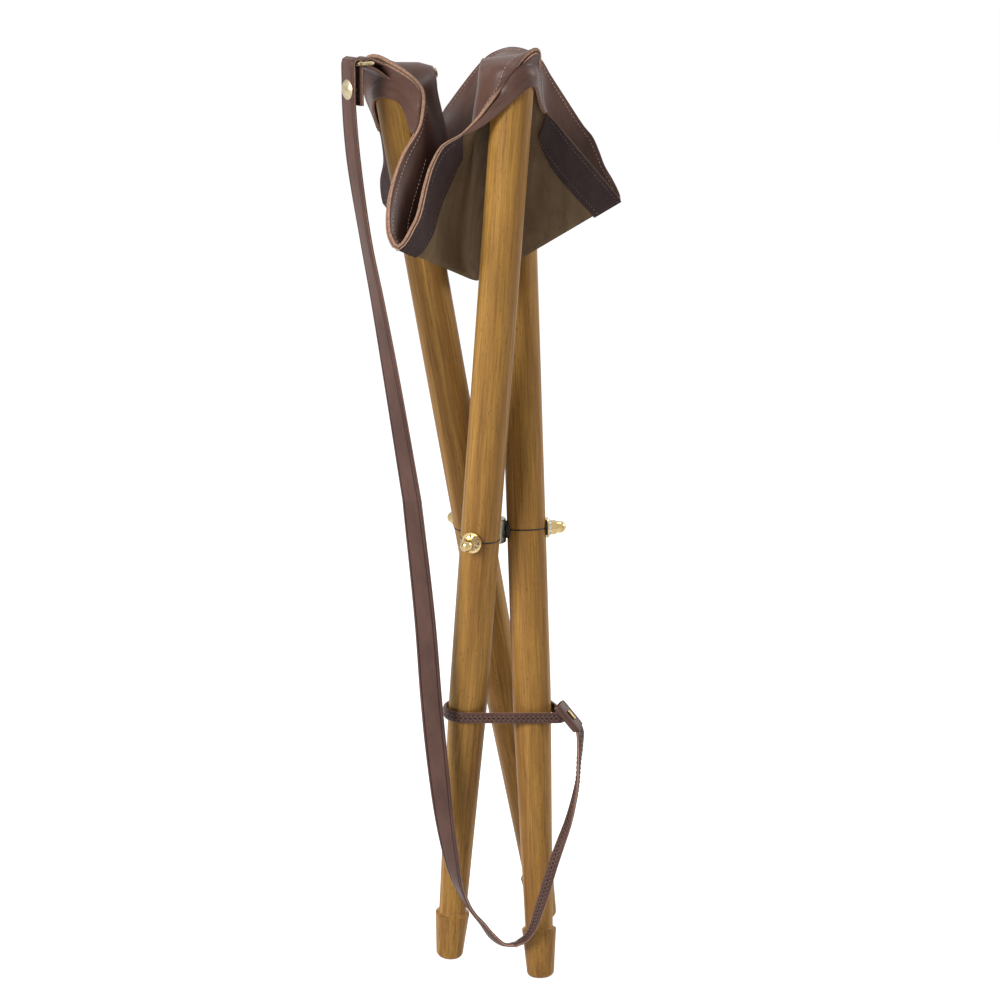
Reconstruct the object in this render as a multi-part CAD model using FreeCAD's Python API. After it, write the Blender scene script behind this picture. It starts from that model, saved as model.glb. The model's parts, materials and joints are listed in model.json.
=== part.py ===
"""Folding three-legged stool with a leather seat and a shoulder strap, standing folded and tied.

Millimetres, +Z up, X to the right and Y away from the viewer. Each leg turns on its own stud of a
three-way bolt. The stool is built round the middle of that bolt and then stood on its three feet.
"""
import FreeCAD
import Part
import math
import os

Vec = FreeCAD.Vector

# Legs
leg_length = 700.0
leg_dia = 30.0
leg_top_round = 4.0
bolt_height = 353.2
bolt_lower_on_a = 3.6
lean = {"a": 5.31, "b": 8.67, "c": 10.94}
taper_start = 118.0
taper_blend = 34.0
neck_dia = 21.8
collar_dia = 27.0
collar_height = 38.3
collar_shoulder = 3.2
collar_round = 0.8
foot_dia = 21.5
foot_round = 4.5

# Three-way bolt
arm_b_azimuth = 7.48
bolt_circle = 25.9
hub_dia = 20.0
hub_height = 18.5
hub_edge = 1.0
stud_dia = 6.0
stud_root = 3.8
stud_in_nut = 10.2
spot_depth = 1.2
inner_washer_dia = 13.6
inner_washer_thick = 2.4
outer_washer_dia = 12.0
outer_washer_thick = 1.8
brass_washer_dia = 16.0
brass_washer_thick = 1.2
lock_washer_dia = 12.4
lock_washer_thick = 1.8
lock_washer_teeth = 12
nut_across_flats = 10.0
nut_hex_height = 4.6
nut_dome_dia = 9.2
nut_height = 12.2
running_gap = 0.05
wire_dia = 1.1
wire_sunk = 0.7
cut_past = 1.0

# Leather seat, folded down between the legs
seat_side = 430.0
leather = 3.0
soft_gap = 0.3
corner_take_up = 86.0
fold_azimuth = {"ca": -120.3, "ab": 13.8, "bc": 132.4}
fold_rise = {"ca": 20.7, "ab": 28.4, "bc": 25.2}
fold_radius = 7.5
fold_bend = 6.6
valley_radius = 5.0
corner_flare = 36.0
corner_edge = 12.0
cone_foot = 0.12
hollow_foot = 16.0
seat_over_leg = 9.0
strip_width = 24.0
strip_thick = 1.6
strip_top_share = 0.72
strip_top_width = 15.0
sewn_gap = 0.1
pocket_fit = 0.15
pocket_high_side = 10.0
pocket_low_side = 44.0
pocket_roof = 5.0
pocket_tip = 18.0
stud_head_dia = 7.6
stud_shank_dia = 3.0
stud_shank_in = 9.0
stud_above_leg = 3.0

# Carrying strap and its hardware
strap_width = 17.0
strap_thick = 2.8
ring_wire = 3.0
ring_inner = 18.0
ring_depth = 10.5
ring_azimuth = -56.0
ring_from_corner = (-3.7, -19.0, 2.0)
strap_turn_down = 30.0
strap_turn_back = 30.0
tab_width = 15.0
tab_thick = 2.4
tab_reach = 26.0
tab_droop = 25.0
cap_dia = 14.5
cap_rise = 2.6
tie_height = 8.5
tie_thick = 2.6
tie_level = -139.5
tie_nose_out = 23.6
tie_nose_azimuth = -35.5
tie_nose_r = 3.5
keeper_from_nose = (8.5, -7.5, 2.4)
keeper_along = (0.62, -0.05, -0.78)
keeper_face = (0.63, -0.56, 0.54)
keeper_length = 24.0
keeper_wall = 1.4
strap_in_keeper = 16.0
staple_span = 7.0
staple_wire = 1.5

# Route of the strap from the carrying ring down to the floor end: point, width's direction, width
strap_route = [
    ((-100.5, -45.0, 290.0), (0.57, -0.82, 0.0), 17.0),
    ((-92.4, -46.0, 231.5), (0.47, -0.88, 0.0), 17.0),
    ((-84.5, -47.0, 187.5), (0.56, -0.83, 0.0), 17.0),
    ((-74.6, -48.0, 127.5), (0.69, -0.72, 0.0), 17.0),
    ((-60.6, -48.0, 36.0), (0.83, -0.56, 0.0), 17.0),
    ((-51.6, -48.5, -57.5), (0.94, -0.34, 0.0), 17.0),
    ((-47.2, -50.0, -121.5), (0.98, -0.21, 0.0), 17.0),
    ((-43.2, -51.0, -167.0), (0.97, -0.24, 0.0), 17.0),
    ((-37.5, -52.0, -218.5), (0.88, -0.47, 0.0), 16.5),
    ((-32.0, -54.0, -250.9), (0.75, -0.66, 0.0), 15.5),
    ((-28.2, -55.0, -267.3), (0.60, -0.80, 0.0), 14.0),
    ((-21.2, -57.0, -284.9), (0.38, -0.92, 0.10), 12.0),
    ((-15.0, -58.0, -294.5), (0.24, -0.95, 0.20), 10.5),
    ((-8.1, -59.5, -302.5), (0.20, -0.88, 0.45), 9.5),
    ((-0.6, -61.0, -312.2), (0.15, -0.72, 0.68), 9.0),
    ((8.4, -64.0, -317.5), (0.10, -0.88, 0.46), 8.5),
    ((17.7, -66.5, -315.9), (0.15, -0.97, 0.18), 8.2),
]
# Route of the narrow tail, rising in front of leg b to the keeper: point, width's direction
tail_route = [
    ((25.4, -69.5, -309.5), (0.30, -0.95, 0.0)),
    ((30.8, -73.0, -298.6), (0.50, -0.86, 0.0)),
    ((35.3, -77.0, -282.5), (0.72, -0.69, 0.0)),
    ((40.5, -80.0, -262.9), (0.86, -0.51, 0.0)),
    ((45.8, -81.0, -243.4), (0.86, -0.51, 0.0)),
    ((51.1, -80.0, -227.4), (0.72, -0.69, 0.0)),
    ((57.1, -76.5, -210.8), (0.50, -0.87, 0.0)),
    ((61.7, -71.0, -194.3), (0.22, -0.97, 0.0)),
    ((64.6, -64.0, -180.7), (0.0, -1.0, 0.0)),
    ((65.8, -56.5, -168.0), (-0.17, -0.98, 0.0)),
    ((66.8, -49.0, -157.5), (-0.34, -0.92, 0.0)),
]
tail_width = 8.2
middle_station = 5
bend_station = 10


def unit(v):
    return v * (1.0 / v.Length)


def turned(v, axis, degrees):
    return FreeCAD.Rotation(axis, degrees).multVec(v)


def flat(azimuth):
    a = math.radians(azimuth)
    return Vec(math.cos(a), math.sin(a), 0)


UP = Vec(0, 0, 1)
CORNERS = ("a", "b", "c")
SIDES = {"ab": ("a", "b"), "bc": ("b", "c"), "ca": ("c", "a")}
foot_reach = {"a": bolt_height - bolt_lower_on_a, "b": bolt_height, "c": bolt_height}
leg_r = leg_dia / 2
foot_flat_r = foot_dia / 2 - foot_round
arm_azimuth = {"a": arm_b_azimuth - 120, "b": arm_b_azimuth, "c": arm_b_azimuth + 120}


# How the folded stool stands: the hub tips until all three feet touch the floor
class Leg:
    def __init__(self, corner):
        self.arm = flat(arm_azimuth[corner])
        self.axis = turned(UP, self.arm, -lean[corner])
        self.bolt = self.arm * bolt_circle
        self.reach = foot_reach[corner]
        self.above = leg_length - foot_reach[corner]

    def tip(self, rotation):
        self.arm = rotation.multVec(self.arm)
        self.axis = rotation.multVec(self.axis)
        self.bolt = rotation.multVec(self.bolt)

    def contact(self):
        down = self.axis * self.axis.dot(UP) - UP
        toe = unit(down) if down.Length > 1e-9 else self.arm
        foot = self.bolt - self.axis * (self.reach - foot_round)
        return foot + toe * foot_flat_r - UP * foot_round

    def at(self, height):
        return self.bolt + self.axis * ((height - self.bolt.z) / self.axis.z)

    def place(self):
        side = self.axis.cross(self.arm)
        turn = FreeCAD.Rotation(self.arm, side, self.axis, "XZY")
        return FreeCAD.Placement(self.bolt, turn)


legs = {corner: Leg(corner) for corner in CORNERS}
hub_turn = FreeCAD.Rotation()
for attempt in range(12):
    a, b, c = [legs[corner].contact() for corner in CORNERS]
    floor_normal = unit((b - a).cross(c - a))
    step = FreeCAD.Rotation(floor_normal, UP)
    hub_turn = step.multiply(hub_turn)
    for leg in legs.values():
        leg.tip(step)
floor_level = min(leg.contact().z for leg in legs.values())
hub_place = FreeCAD.Placement(Vec(0, 0, 0), hub_turn)

parts = {}


def cylinder(radius, low, high, axis="z"):
    direction = {"x": Vec(1, 0, 0), "y": Vec(0, 1, 0), "z": UP}[axis]
    return Part.makeCylinder(radius, high - low, direction * low, direction)


def turned_solid(outline):
    return Part.Face(Part.Wire(outline)).revolve(Vec(0, 0, 0), UP, 360)


def line(p, q):
    return Part.LineSegment(p, q).toShape()


def arc(p, middle, q):
    return Part.Arc(p, middle, q).toShape()


def quarter(start, end, centre):
    middle = centre + unit((start - centre) + (end - centre)) * (start - centre).Length
    return arc(start, middle, end)


# Turned wooden legs, each with a bolt hole, two spot faces and a groove for its binding wire
def leg_solid(leg):
    top = leg.above
    bottom = -leg.reach
    collar = bottom + collar_height
    neck = collar + collar_shoulder
    neck_r = neck_dia / 2
    blend_low = -(taper_start + taper_blend)
    slope = (leg_r - neck_r) / (-(taper_start + taper_blend / 2) - neck)
    blend_r = leg_r - slope * taper_blend / 2
    blend_mid = Vec(leg_r - slope * taper_blend / 8, 0, -(taper_start + taper_blend / 2))
    shoulder_r = collar_dia / 2 - collar_round
    cove = shoulder_r - neck_r
    cove_mid = Vec(neck_r + 0.3 * cove, 0, neck - 0.7 * collar_shoulder)
    outline = [
        line(Vec(0, 0, bottom), Vec(foot_flat_r, 0, bottom)),
        quarter(
            Vec(foot_flat_r, 0, bottom),
            Vec(foot_dia / 2, 0, bottom + foot_round),
            Vec(foot_flat_r, 0, bottom + foot_round),
        ),
        line(Vec(foot_dia / 2, 0, bottom + foot_round), Vec(collar_dia / 2, 0, collar - collar_round)),
        quarter(
            Vec(collar_dia / 2, 0, collar - collar_round),
            Vec(shoulder_r, 0, collar),
            Vec(shoulder_r, 0, collar - collar_round),
        ),
        arc(Vec(shoulder_r, 0, collar), cove_mid, Vec(neck_r, 0, neck)),
        line(Vec(neck_r, 0, neck), Vec(blend_r, 0, blend_low)),
        arc(Vec(blend_r, 0, blend_low), blend_mid, Vec(leg_r, 0, -taper_start)),
        line(Vec(leg_r, 0, -taper_start), Vec(leg_r, 0, top - leg_top_round)),
        quarter(
            Vec(leg_r, 0, top - leg_top_round),
            Vec(leg_r - leg_top_round, 0, top),
            Vec(leg_r - leg_top_round, 0, top - leg_top_round),
        ),
        line(Vec(leg_r - leg_top_round, 0, top), Vec(0, 0, top)),
        line(Vec(0, 0, top), Vec(0, 0, bottom)),
    ]
    solid = turned_solid(outline)
    solid = solid.cut(cylinder(stud_dia / 2 + running_gap, -leg_dia, leg_dia, "x"))
    solid = solid.cut(spot_faces())
    groove = Part.makeTorus(leg_r - wire_sunk + wire_dia / 2, wire_dia / 2 + running_gap)
    return solid.cut(groove)


spot_radius = max(inner_washer_dia, outer_washer_dia) / 2 + soft_gap


def spot_faces():
    near = cylinder(spot_radius, leg_r - spot_depth, leg_dia, "x")
    far = cylinder(spot_radius, -leg_dia, -(leg_r - spot_depth), "x")
    return near.fuse(far)


def binding_wire():
    ring = Part.makeTorus(leg_r - wire_sunk + wire_dia / 2, wire_dia / 2)
    return ring.cut(spot_faces())


for corner, leg in legs.items():
    place = leg.place()
    wood = leg_solid(leg)
    wood.Placement = place
    parts["leg_" + corner] = wood
    wire = binding_wire()
    wire.Placement = place
    parts["binding_wire_" + corner] = wire

# Three-way bolt: hub, studs, and on each stud a washer inside the leg and three outside it
spot_inner = bolt_circle - (leg_r - spot_depth)
spot_outer = bolt_circle + (leg_r - spot_depth)
hub_flat = spot_inner - 2 * running_gap - inner_washer_thick
hub = Part.makeCylinder(hub_dia / 2, hub_height, Vec(0, 0, -hub_height / 2))
hub = hub.makeChamfer(hub_edge / 2, [e for e in hub.Edges if e.Length > hub_dia])
for corner in CORNERS:
    turn = FreeCAD.Placement(Vec(0, 0, 0), FreeCAD.Rotation(UP, arm_azimuth[corner]))
    slab = Part.makeBox(hub_dia, hub_dia * 2, hub_height * 2, Vec(hub_flat, -hub_dia, -hub_height))
    bore = cylinder(stud_dia / 2 + running_gap, stud_root - running_gap, hub_dia, "x")
    slab.Placement = turn
    bore.Placement = turn
    hub = hub.cut(slab).cut(bore)
hub.Placement = hub_place
parts["hub"] = hub


def washer(outside, low, thick):
    ring = cylinder(outside / 2, low, low + thick, "x")
    return ring.cut(cylinder(stud_dia / 2 + running_gap, low - cut_past, low + thick + cut_past, "x"))


def toothed_washer(low):
    ring = washer(lock_washer_dia, low, lock_washer_thick)
    notch = lock_washer_dia / 10
    for i in range(lock_washer_teeth):
        cutter = Part.makeBox(
            lock_washer_thick * 3, notch, notch * 2,
            Vec(low - lock_washer_thick, -notch / 2, lock_washer_dia / 2 - notch),
        )
        cutter.rotate(Vec(0, 0, 0), Vec(1, 0, 0), 360.0 * i / lock_washer_teeth)
        ring = ring.cut(cutter)
    return ring


def cap_nut(low):
    across_corners = nut_across_flats / math.cos(math.radians(30))
    points = []
    for i in range(7):
        a = math.radians(60 * i)
        points.append(Vec(low, across_corners / 2 * math.cos(a), across_corners / 2 * math.sin(a)))
    hexagon = Part.Face(Part.makePolygon(points)).extrude(Vec(nut_hex_height, 0, 0))
    cone_tip = nut_across_flats / 2 / math.tan(math.radians(30))
    trim = Part.makeCone(
        nut_across_flats / 2 + cone_tip, 0, (nut_across_flats / 2 + cone_tip) * math.tan(math.radians(30)),
        Vec(low + nut_hex_height - (cone_tip + 0.2) * math.tan(math.radians(30)), 0, 0), Vec(1, 0, 0),
    )
    dome_r = nut_dome_dia / 2
    straight = nut_height - nut_hex_height - dome_r
    body = cylinder(dome_r, low + nut_hex_height - cut_past, low + nut_hex_height + straight, "x")
    dome = Part.makeSphere(dome_r, Vec(low + nut_hex_height + straight, 0, 0))
    solid = hexagon.common(trim).fuse(body).fuse(dome.common(
        cylinder(dome_r * 2, low + nut_hex_height + straight, low + nut_height + cut_past, "x")))
    return solid.cut(cylinder(stud_dia / 2 + running_gap, low - cut_past, low + stud_in_nut + running_gap, "x"))


outer_low = spot_outer + running_gap
brass_low = outer_low + outer_washer_thick
lock_low = brass_low + brass_washer_thick
nut_low = lock_low + lock_washer_thick
stack = {
    "stud": cylinder(stud_dia / 2, stud_root, nut_low + stud_in_nut, "x"),
    "inner_washer": washer(inner_washer_dia, hub_flat + running_gap, inner_washer_thick),
    "outer_washer": washer(outer_washer_dia, outer_low, outer_washer_thick),
    "brass_washer": washer(brass_washer_dia, brass_low, brass_washer_thick),
    "lock_washer": toothed_washer(lock_low),
    "cap_nut": cap_nut(nut_low),
}
for corner in CORNERS:
    turn = FreeCAD.Placement(Vec(0, 0, 0), FreeCAD.Rotation(UP, arm_azimuth[corner]))
    for name, solid in stack.items():
        piece = solid.copy()
        piece.Placement = hub_place.multiply(turn)
        parts[name + "_" + corner] = piece


# Bent sheets: a wire of straight runs with rounded corners, all in one plane
def offset_points(points, normal, distance, closed):
    moved = []
    count = len(points)
    for i, p in enumerate(points):
        before = points[i - 1] if closed or i > 0 else None
        after = points[(i + 1) % count] if closed or i < count - 1 else None
        sides = []
        if before is not None:
            sides.append(unit((p - before).cross(normal)))
        if after is not None:
            sides.append(unit((after - p).cross(normal)))
        if len(sides) == 1:
            moved.append(p + sides[0] * distance)
        else:
            moved.append(p + (sides[0] + sides[1]) * (distance / (1 + sides[0].dot(sides[1]))))
    return moved


def corner_radius(before, p, after, normal, radius, distance):
    turn = (p - before).cross(after - p).dot(normal)
    return radius + distance if turn > 0 else radius - distance


def rounded_edges(points, radii, closed):
    count = len(points)
    ends = []
    for i, p in enumerate(points):
        if not closed and i in (0, count - 1):
            ends.append((p, None, p))
            continue
        to_before = unit(points[i - 1] - p)
        to_after = unit(points[(i + 1) % count] - p)
        half = to_before.getAngle(to_after) / 2
        reach = radii[i] / math.tan(half)
        middle = p + unit(to_before + to_after) * (radii[i] / math.sin(half) - radii[i])
        ends.append((p + to_before * reach, middle, p + to_after * reach))
    edges = []
    for i in range(count if closed else count - 1):
        first = ends[i]
        second = ends[(i + 1) % count]
        if first[1] is not None:
            edges.append(arc(first[0], first[1], first[2]))
        edges.append(line(first[2], second[0]))
    return edges


def sheet_section(points, radii, normal, low, high):
    """Closed outline of a bent sheet between two offsets of an open run of points."""
    sides = []
    for distance in (low, high):
        moved = offset_points(points, normal, distance, False)
        rounds = [0.0] * len(points)
        for i in range(1, len(points) - 1):
            rounds[i] = corner_radius(
                points[i - 1], points[i], points[i + 1], normal, radii[i], distance)
        sides.append((moved, rounded_edges(moved, rounds, False)))
    first_points, first_edges = sides[0]
    second_points, second_edges = sides[1]
    edges = first_edges + [line(first_points[-1], second_points[-1])]
    edges += list(reversed(second_edges))
    edges.append(line(second_points[0], first_points[0]))
    return Part.Wire(Part.__sortEdges__(edges))


def star_section(points, radii, normal, distance):
    moved = offset_points(points, normal, distance, True)
    count = len(points)
    rounds = []
    for i in range(count):
        rounds.append(corner_radius(
            points[i - 1], points[i], points[(i + 1) % count], normal, radii[i], distance))
    return Part.Wire(rounded_edges(moved, rounds, True))


# Seat: its middle hangs between the legs, and each side folds outwards between two legs
tops = {corner: legs[corner].bolt + legs[corner].axis * legs[corner].above for corner in CORNERS}
middle_top = (tops["a"] + tops["b"] + tops["c"]) * (1 / 3)
spread = sum((tops[c] - middle_top).Length for c in CORNERS) / 3
hang = math.sqrt((seat_side / math.sqrt(3) - corner_take_up) ** 2 - spread ** 2)
seat_low = middle_top - UP * hang
fold_length = seat_side / (2 * math.sqrt(3))
fold = {}
for side in SIDES:
    rise = math.radians(fold_rise[side])
    fold[side] = seat_low + flat(fold_azimuth[side]) * (fold_length * math.cos(rise))
    fold[side] += UP * (fold_length * math.sin(rise))
rim = unit((fold["bc"] - fold["ab"]).cross(fold["ca"] - fold["ab"]))
pocket_r = leg_r + pocket_fit + leather
wrap_r = pocket_r + 2 * soft_gap + leather / 2
half = leather / 2
outward = {}
valley_top = {}
for corner in CORNERS:
    away = tops[corner] - middle_top
    outward[corner] = unit(away - rim * away.dot(rim))
    reach = wrap_r / math.sin(math.radians(corner_flare))
    valley_top[corner] = tops[corner] + rim * seat_over_leg - outward[corner] * reach
valley = {}
for corner in CORNERS:
    run = valley_top[corner] - seat_low
    valley[corner] = seat_low + run * ((fold["ab"] - seat_low).dot(rim) / run.dot(rim))


def fold_corner(side, corner):
    """Corner of the folded edge on one leg's side, where the sheet turns back."""
    out = fold[side] - seat_low
    across = unit(rim.cross(out))
    sign = -1 if corner == SIDES[side][0] else 1
    return fold[side] + across * (sign * fold_radius)


star = []
star_radii = []
for corner, side in (("a", "ab"), ("b", "bc"), ("c", "ca")):
    star += [valley[corner], fold_corner(side, SIDES[side][0]), fold_corner(side, SIDES[side][1])]
    star_radii += [valley_radius, fold_bend, fold_bend]


def cone_of_folds(distance, apex, low):
    high_wire = star_section(star, star_radii, rim, distance)
    low_wire = high_wire.copy()
    low_wire.scale(low, apex)
    return Part.makeLoft([low_wire, high_wire], True, True)


def arm_start(corner, side):
    """Point of a side's free edge, at the fold level, where the fold's bend begins."""
    near = fold_corner(side, corner)
    other = fold_corner(side, partner(corner, side))
    back = unit(valley[corner] - near)
    bend = math.pi - back.getAngle(unit(other - near))
    return near + back * (fold_bend * math.tan(bend / 2))


def partner(corner, side):
    first, last = SIDES[side]
    return last if corner == first else first


def side_before(corner):
    return {"a": "ca", "b": "ab", "c": "bc"}[corner]


def side_after(corner):
    return {"a": "ab", "b": "bc", "c": "ca"}[corner]


def corner_points(corner, share):
    """Two free edges of a corner's sheet and its valley between them, at a share of its height."""
    ends = []
    for side, sign in ((side_before(corner), -1), (side_after(corner), 1)):
        direction = turned(outward[corner], rim, sign * corner_flare)
        tangent = wrap_r / math.tan(math.radians(corner_flare))
        high = valley_top[corner] + direction * (tangent + corner_edge)
        start = arm_start(corner, side)
        ends.append(start + (high - start) * share)
    middle = valley[corner] + (valley_top[corner] - valley[corner]) * share
    return ends[0], middle, ends[1]


def corner_sheet(corner, low, high):
    wires = []
    for share in (0.0, 0.5, 1.0):
        before, middle, after = corner_points(corner, share)
        radius = valley_radius + (wrap_r - valley_radius) * share
        wires.append(sheet_section([before, middle, after], [0, radius, 0], rim, low, high))
    return Part.makeLoft(wires, True, True)


seat = cone_of_folds(half, seat_low, cone_foot)
seat = seat.cut(cone_of_folds(-half, seat_low + rim * hollow_foot, 2 * cone_foot))
for corner in CORNERS:
    seat = seat.fuse(corner_sheet(corner, -half, half))

# Reinforcing strips sewn to the underside along the three edges of the seat: a length round each
# fold, and one from the fold up to each pocket
strip_low = half + soft_gap
strip_high = strip_low + strip_thick


def arm_strip(corner, side):
    """Part of a corner's outer layer that lies within the strip's width of one free edge."""
    wires = []
    start_share = 2 * soft_gap / (valley_top[corner] - valley[corner]).Length
    for share, width in ((start_share, strip_width), (strip_top_share, strip_top_width)):
        before, middle, after = corner_points(corner, share)
        end = before if side == side_before(corner) else after
        inward = unit(middle - end)
        aside = inward.cross(rim) * (2 * strip_high)
        start = end - inward * soft_gap
        finish = end + inward * width
        loop = [start + aside, finish + aside, finish - aside, start - aside, start + aside]
        wires.append(Part.makePolygon(loop))
    layer = corner_sheet(corner, strip_low, strip_high)
    return layer.common(Part.makeLoft(wires, True, True))


def fold_strip(side):
    wires = []
    for share, run in ((1 - strip_width / fold_length, soft_gap), (1.0, strip_width)):
        points = []
        for corner in SIDES[side]:
            near = fold_corner(side, corner)
            start = arm_start(corner, side)
            points.append((near, start + unit(start - near) * run))
        (first_near, first_end), (last_near, last_end) = points
        corners = [first_end, first_near, last_near, last_end]
        corners = [seat_low + (p - seat_low) * share for p in corners]
        radii = [0, fold_bend * share, fold_bend * share, 0]
        wires.append(sheet_section(corners, radii, rim, strip_low * share, strip_high * share))
    return Part.makeLoft(wires, True, True)


for side in SIDES:
    parts["fold_strip_" + side] = fold_strip(side)
    for corner in SIDES[side]:
        parts["edge_strip_" + side + "_" + corner] = arm_strip(corner, side)


# Pockets over the leg tops, each held to the seat's corner by a domed stud
def facing(direction, axis):
    """Turn that lays local X along a direction square to an axis, and local Z along the axis."""
    out = unit(direction - axis * direction.dot(axis))
    return FreeCAD.Rotation(out, axis.cross(out), axis, "ZXY")


def slanted_end(near_height, far_height, beyond):
    """Block that covers everything past a slanted plane across a pocket."""
    wide = 2 * pocket_r
    corners = [(-pocket_r, near_height), (pocket_r, far_height), (pocket_r, beyond), (-pocket_r, beyond)]
    points = [Vec(x, -wide, z) for x, z in corners + corners[:1]]
    return Part.Face(Part.makePolygon(points)).extrude(Vec(0, 2 * wide, 0))


pocket_place = {}
for corner, leg in legs.items():
    pocket_place[corner] = FreeCAD.Placement(tops[corner], facing(outward[corner], leg.axis))
    body = cylinder(pocket_r, -pocket_low_side - leather, pocket_tip)
    body = body.cut(slanted_end(pocket_roof, pocket_tip, 3 * pocket_tip))
    body = body.cut(slanted_end(-pocket_low_side, -pocket_high_side, -2 * pocket_low_side))
    body = body.cut(cylinder(leg_r + pocket_fit, -2 * pocket_low_side, pocket_fit))
    body.Placement = pocket_place[corner]
    ridge = unit(valley_top[corner] - valley[corner])
    stud_turn = facing(outward[corner], ridge)
    stud_base = tops[corner] + leg.axis * stud_above_leg
    stud_place = FreeCAD.Placement(stud_base, stud_turn)
    column = cylinder(stud_head_dia / 2, -2 * wrap_r, 0, "x")
    column.Placement = stud_place
    covered = column.common(seat)
    covered.transformShape(stud_place.inverse().toMatrix(), True)
    face = sewn_gap - covered.BoundBox.XMin
    dome_r = stud_head_dia
    sink = math.sqrt(dome_r ** 2 - (stud_head_dia / 2) ** 2)
    head = Part.makeSphere(dome_r, Vec(sink - face, 0, 0))
    head = head.cut(cylinder(2 * dome_r, -face, 2 * dome_r, "x"))
    hole_r = stud_shank_dia / 2 + running_gap
    shank = cylinder(stud_shank_dia / 2, -face, -stud_shank_in, "x")
    hole = cylinder(hole_r, -2 * wrap_r, -stud_shank_in + running_gap, "x")
    loose_hole = cylinder(hole_r + soft_gap, -2 * wrap_r, 0, "x")
    stud = head.fuse(shank)
    for solid in (stud, hole, loose_hole):
        solid.Placement = stud_place
    parts["pocket_" + corner] = body.cut(hole)
    parts["corner_stud_" + corner] = stud
    seat = seat.cut(loose_hole)
parts["seat_panel"] = seat

# Carrying ring at corner c: a flat link between a leather tab and the end of the strap
bar_along = flat(ring_azimuth)
bar_out = flat(ring_azimuth + 90)
corner_tip = tops["c"] + unit(legs["c"].axis) * pocket_tip + outward["c"] * pocket_r
ring_centre = corner_tip + Vec(*ring_from_corner)
ring_place = FreeCAD.Placement(ring_centre, FreeCAD.Rotation(bar_out, bar_along, UP, "ZXY"))
wire_r = ring_wire / 2
bar_x = ring_depth / 2
bar_y = ring_inner / 2 + wire_r


def bar(p, q):
    return Part.makeCylinder(wire_r, (q - p).Length, p, q - p)


corners_of_link = [
    Vec(-bar_x, -bar_y, 0), Vec(bar_x, -bar_y, 0), Vec(bar_x, bar_y, 0), Vec(-bar_x, bar_y, 0)]
link = None
for i in range(4):
    p = corners_of_link[i]
    piece = bar(p, corners_of_link[(i + 1) % 4]).fuse(Part.makeSphere(wire_r, p))
    link = piece if link is None else link.fuse(piece)
link.Placement = ring_place
parts["carry_ring"] = link

# Leather tab that ties the ring to the corner
loop_in = wire_r + soft_gap
loop_out = loop_in + tab_thick
eye = Part.makeCylinder(loop_out, tab_width, Vec(0, -tab_width / 2, 0), Vec(0, 1, 0))
tail = Part.makeBox(tab_reach, tab_width, 2 * tab_thick, Vec(0, -tab_width / 2, -tab_thick))
tab = eye.fuse(tail).cut(Part.makeCylinder(loop_in, tab_width, Vec(0, -tab_width / 2, 0), Vec(0, 1, 0)))
tab.Placement = ring_place.multiply(FreeCAD.Placement(
    Vec(bar_x, 0, 0), FreeCAD.Rotation(Vec(0, 1, 0), tab_droop)))
hood = cylinder(pocket_r + sewn_gap, -pocket_low_side, 2 * pocket_tip)
hood.Placement = pocket_place["c"]
tab = tab.cut(hood)
tab = max(tab.Solids, key=lambda solid: solid.Volume)
parts["ring_tab"] = tab

# Shoulder strap: folded over the ring, snapped to itself, then hanging to the foot of the legs
fold_r = wire_r + soft_gap
outer_r = fold_r + strap_thick
front_low = -strap_turn_down
hairpin = [
    line(Vec(-outer_r, 0, front_low), Vec(-outer_r, 0, 0)),
    quarter(Vec(-outer_r, 0, 0), Vec(0, 0, outer_r), Vec(0, 0, 0)),
    quarter(Vec(0, 0, outer_r), Vec(outer_r, 0, 0), Vec(0, 0, 0)),
    line(Vec(outer_r, 0, 0), Vec(outer_r, 0, -strap_turn_back)),
    line(Vec(outer_r, 0, -strap_turn_back), Vec(fold_r, 0, -strap_turn_back)),
    line(Vec(fold_r, 0, -strap_turn_back), Vec(fold_r, 0, 0)),
    quarter(Vec(fold_r, 0, 0), Vec(0, 0, fold_r), Vec(0, 0, 0)),
    quarter(Vec(0, 0, fold_r), Vec(-fold_r, 0, 0), Vec(0, 0, 0)),
    line(Vec(-fold_r, 0, 0), Vec(-fold_r, 0, front_low)),
    line(Vec(-fold_r, 0, front_low), Vec(-outer_r, 0, front_low)),
]
turn_over = Part.Face(Part.Wire(hairpin)).extrude(Vec(0, strap_width, 0))
turn_over.translate(Vec(-bar_x, -strap_width / 2, 0))
turn_over.Placement = ring_place.multiply(turn_over.Placement)


def strap_sections(stations, first_along):
    """Flat cross-sections of the strap, one at each station, and its direction there."""
    found = []
    for i, (point, width_direction, width) in enumerate(stations):
        ahead = stations[min(i + 1, len(stations) - 1)][0]
        behind = stations[max(i - 1, 0)][0]
        along = first_along if i == 0 else unit(ahead - behind)
        across = unit(width_direction - along * width_direction.dot(along))
        w = across * (width / 2)
        t = across.cross(along) * (strap_thick / 2)
        loop = [point + w + t, point - w + t, point - w - t, point + w - t, point + w + t]
        found.append((Part.makePolygon(loop), along))
    return found


# The keeper's own frame is needed first, because the tail ends inside it
tie_nose = legs["b"].at(tie_level) + flat(tie_nose_azimuth) * tie_nose_out
keeper_base = tie_nose + Vec(*keeper_from_nose)
keeper_x = unit(Vec(*keeper_along))
keeper_z = unit(Vec(*keeper_face) - keeper_x * keeper_x.dot(Vec(*keeper_face)))
keeper_place = FreeCAD.Placement(
    keeper_base, FreeCAD.Rotation(keeper_x, keeper_z.cross(keeper_x), keeper_z, "ZXY"))
keeper_y = keeper_z.cross(keeper_x)

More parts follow.
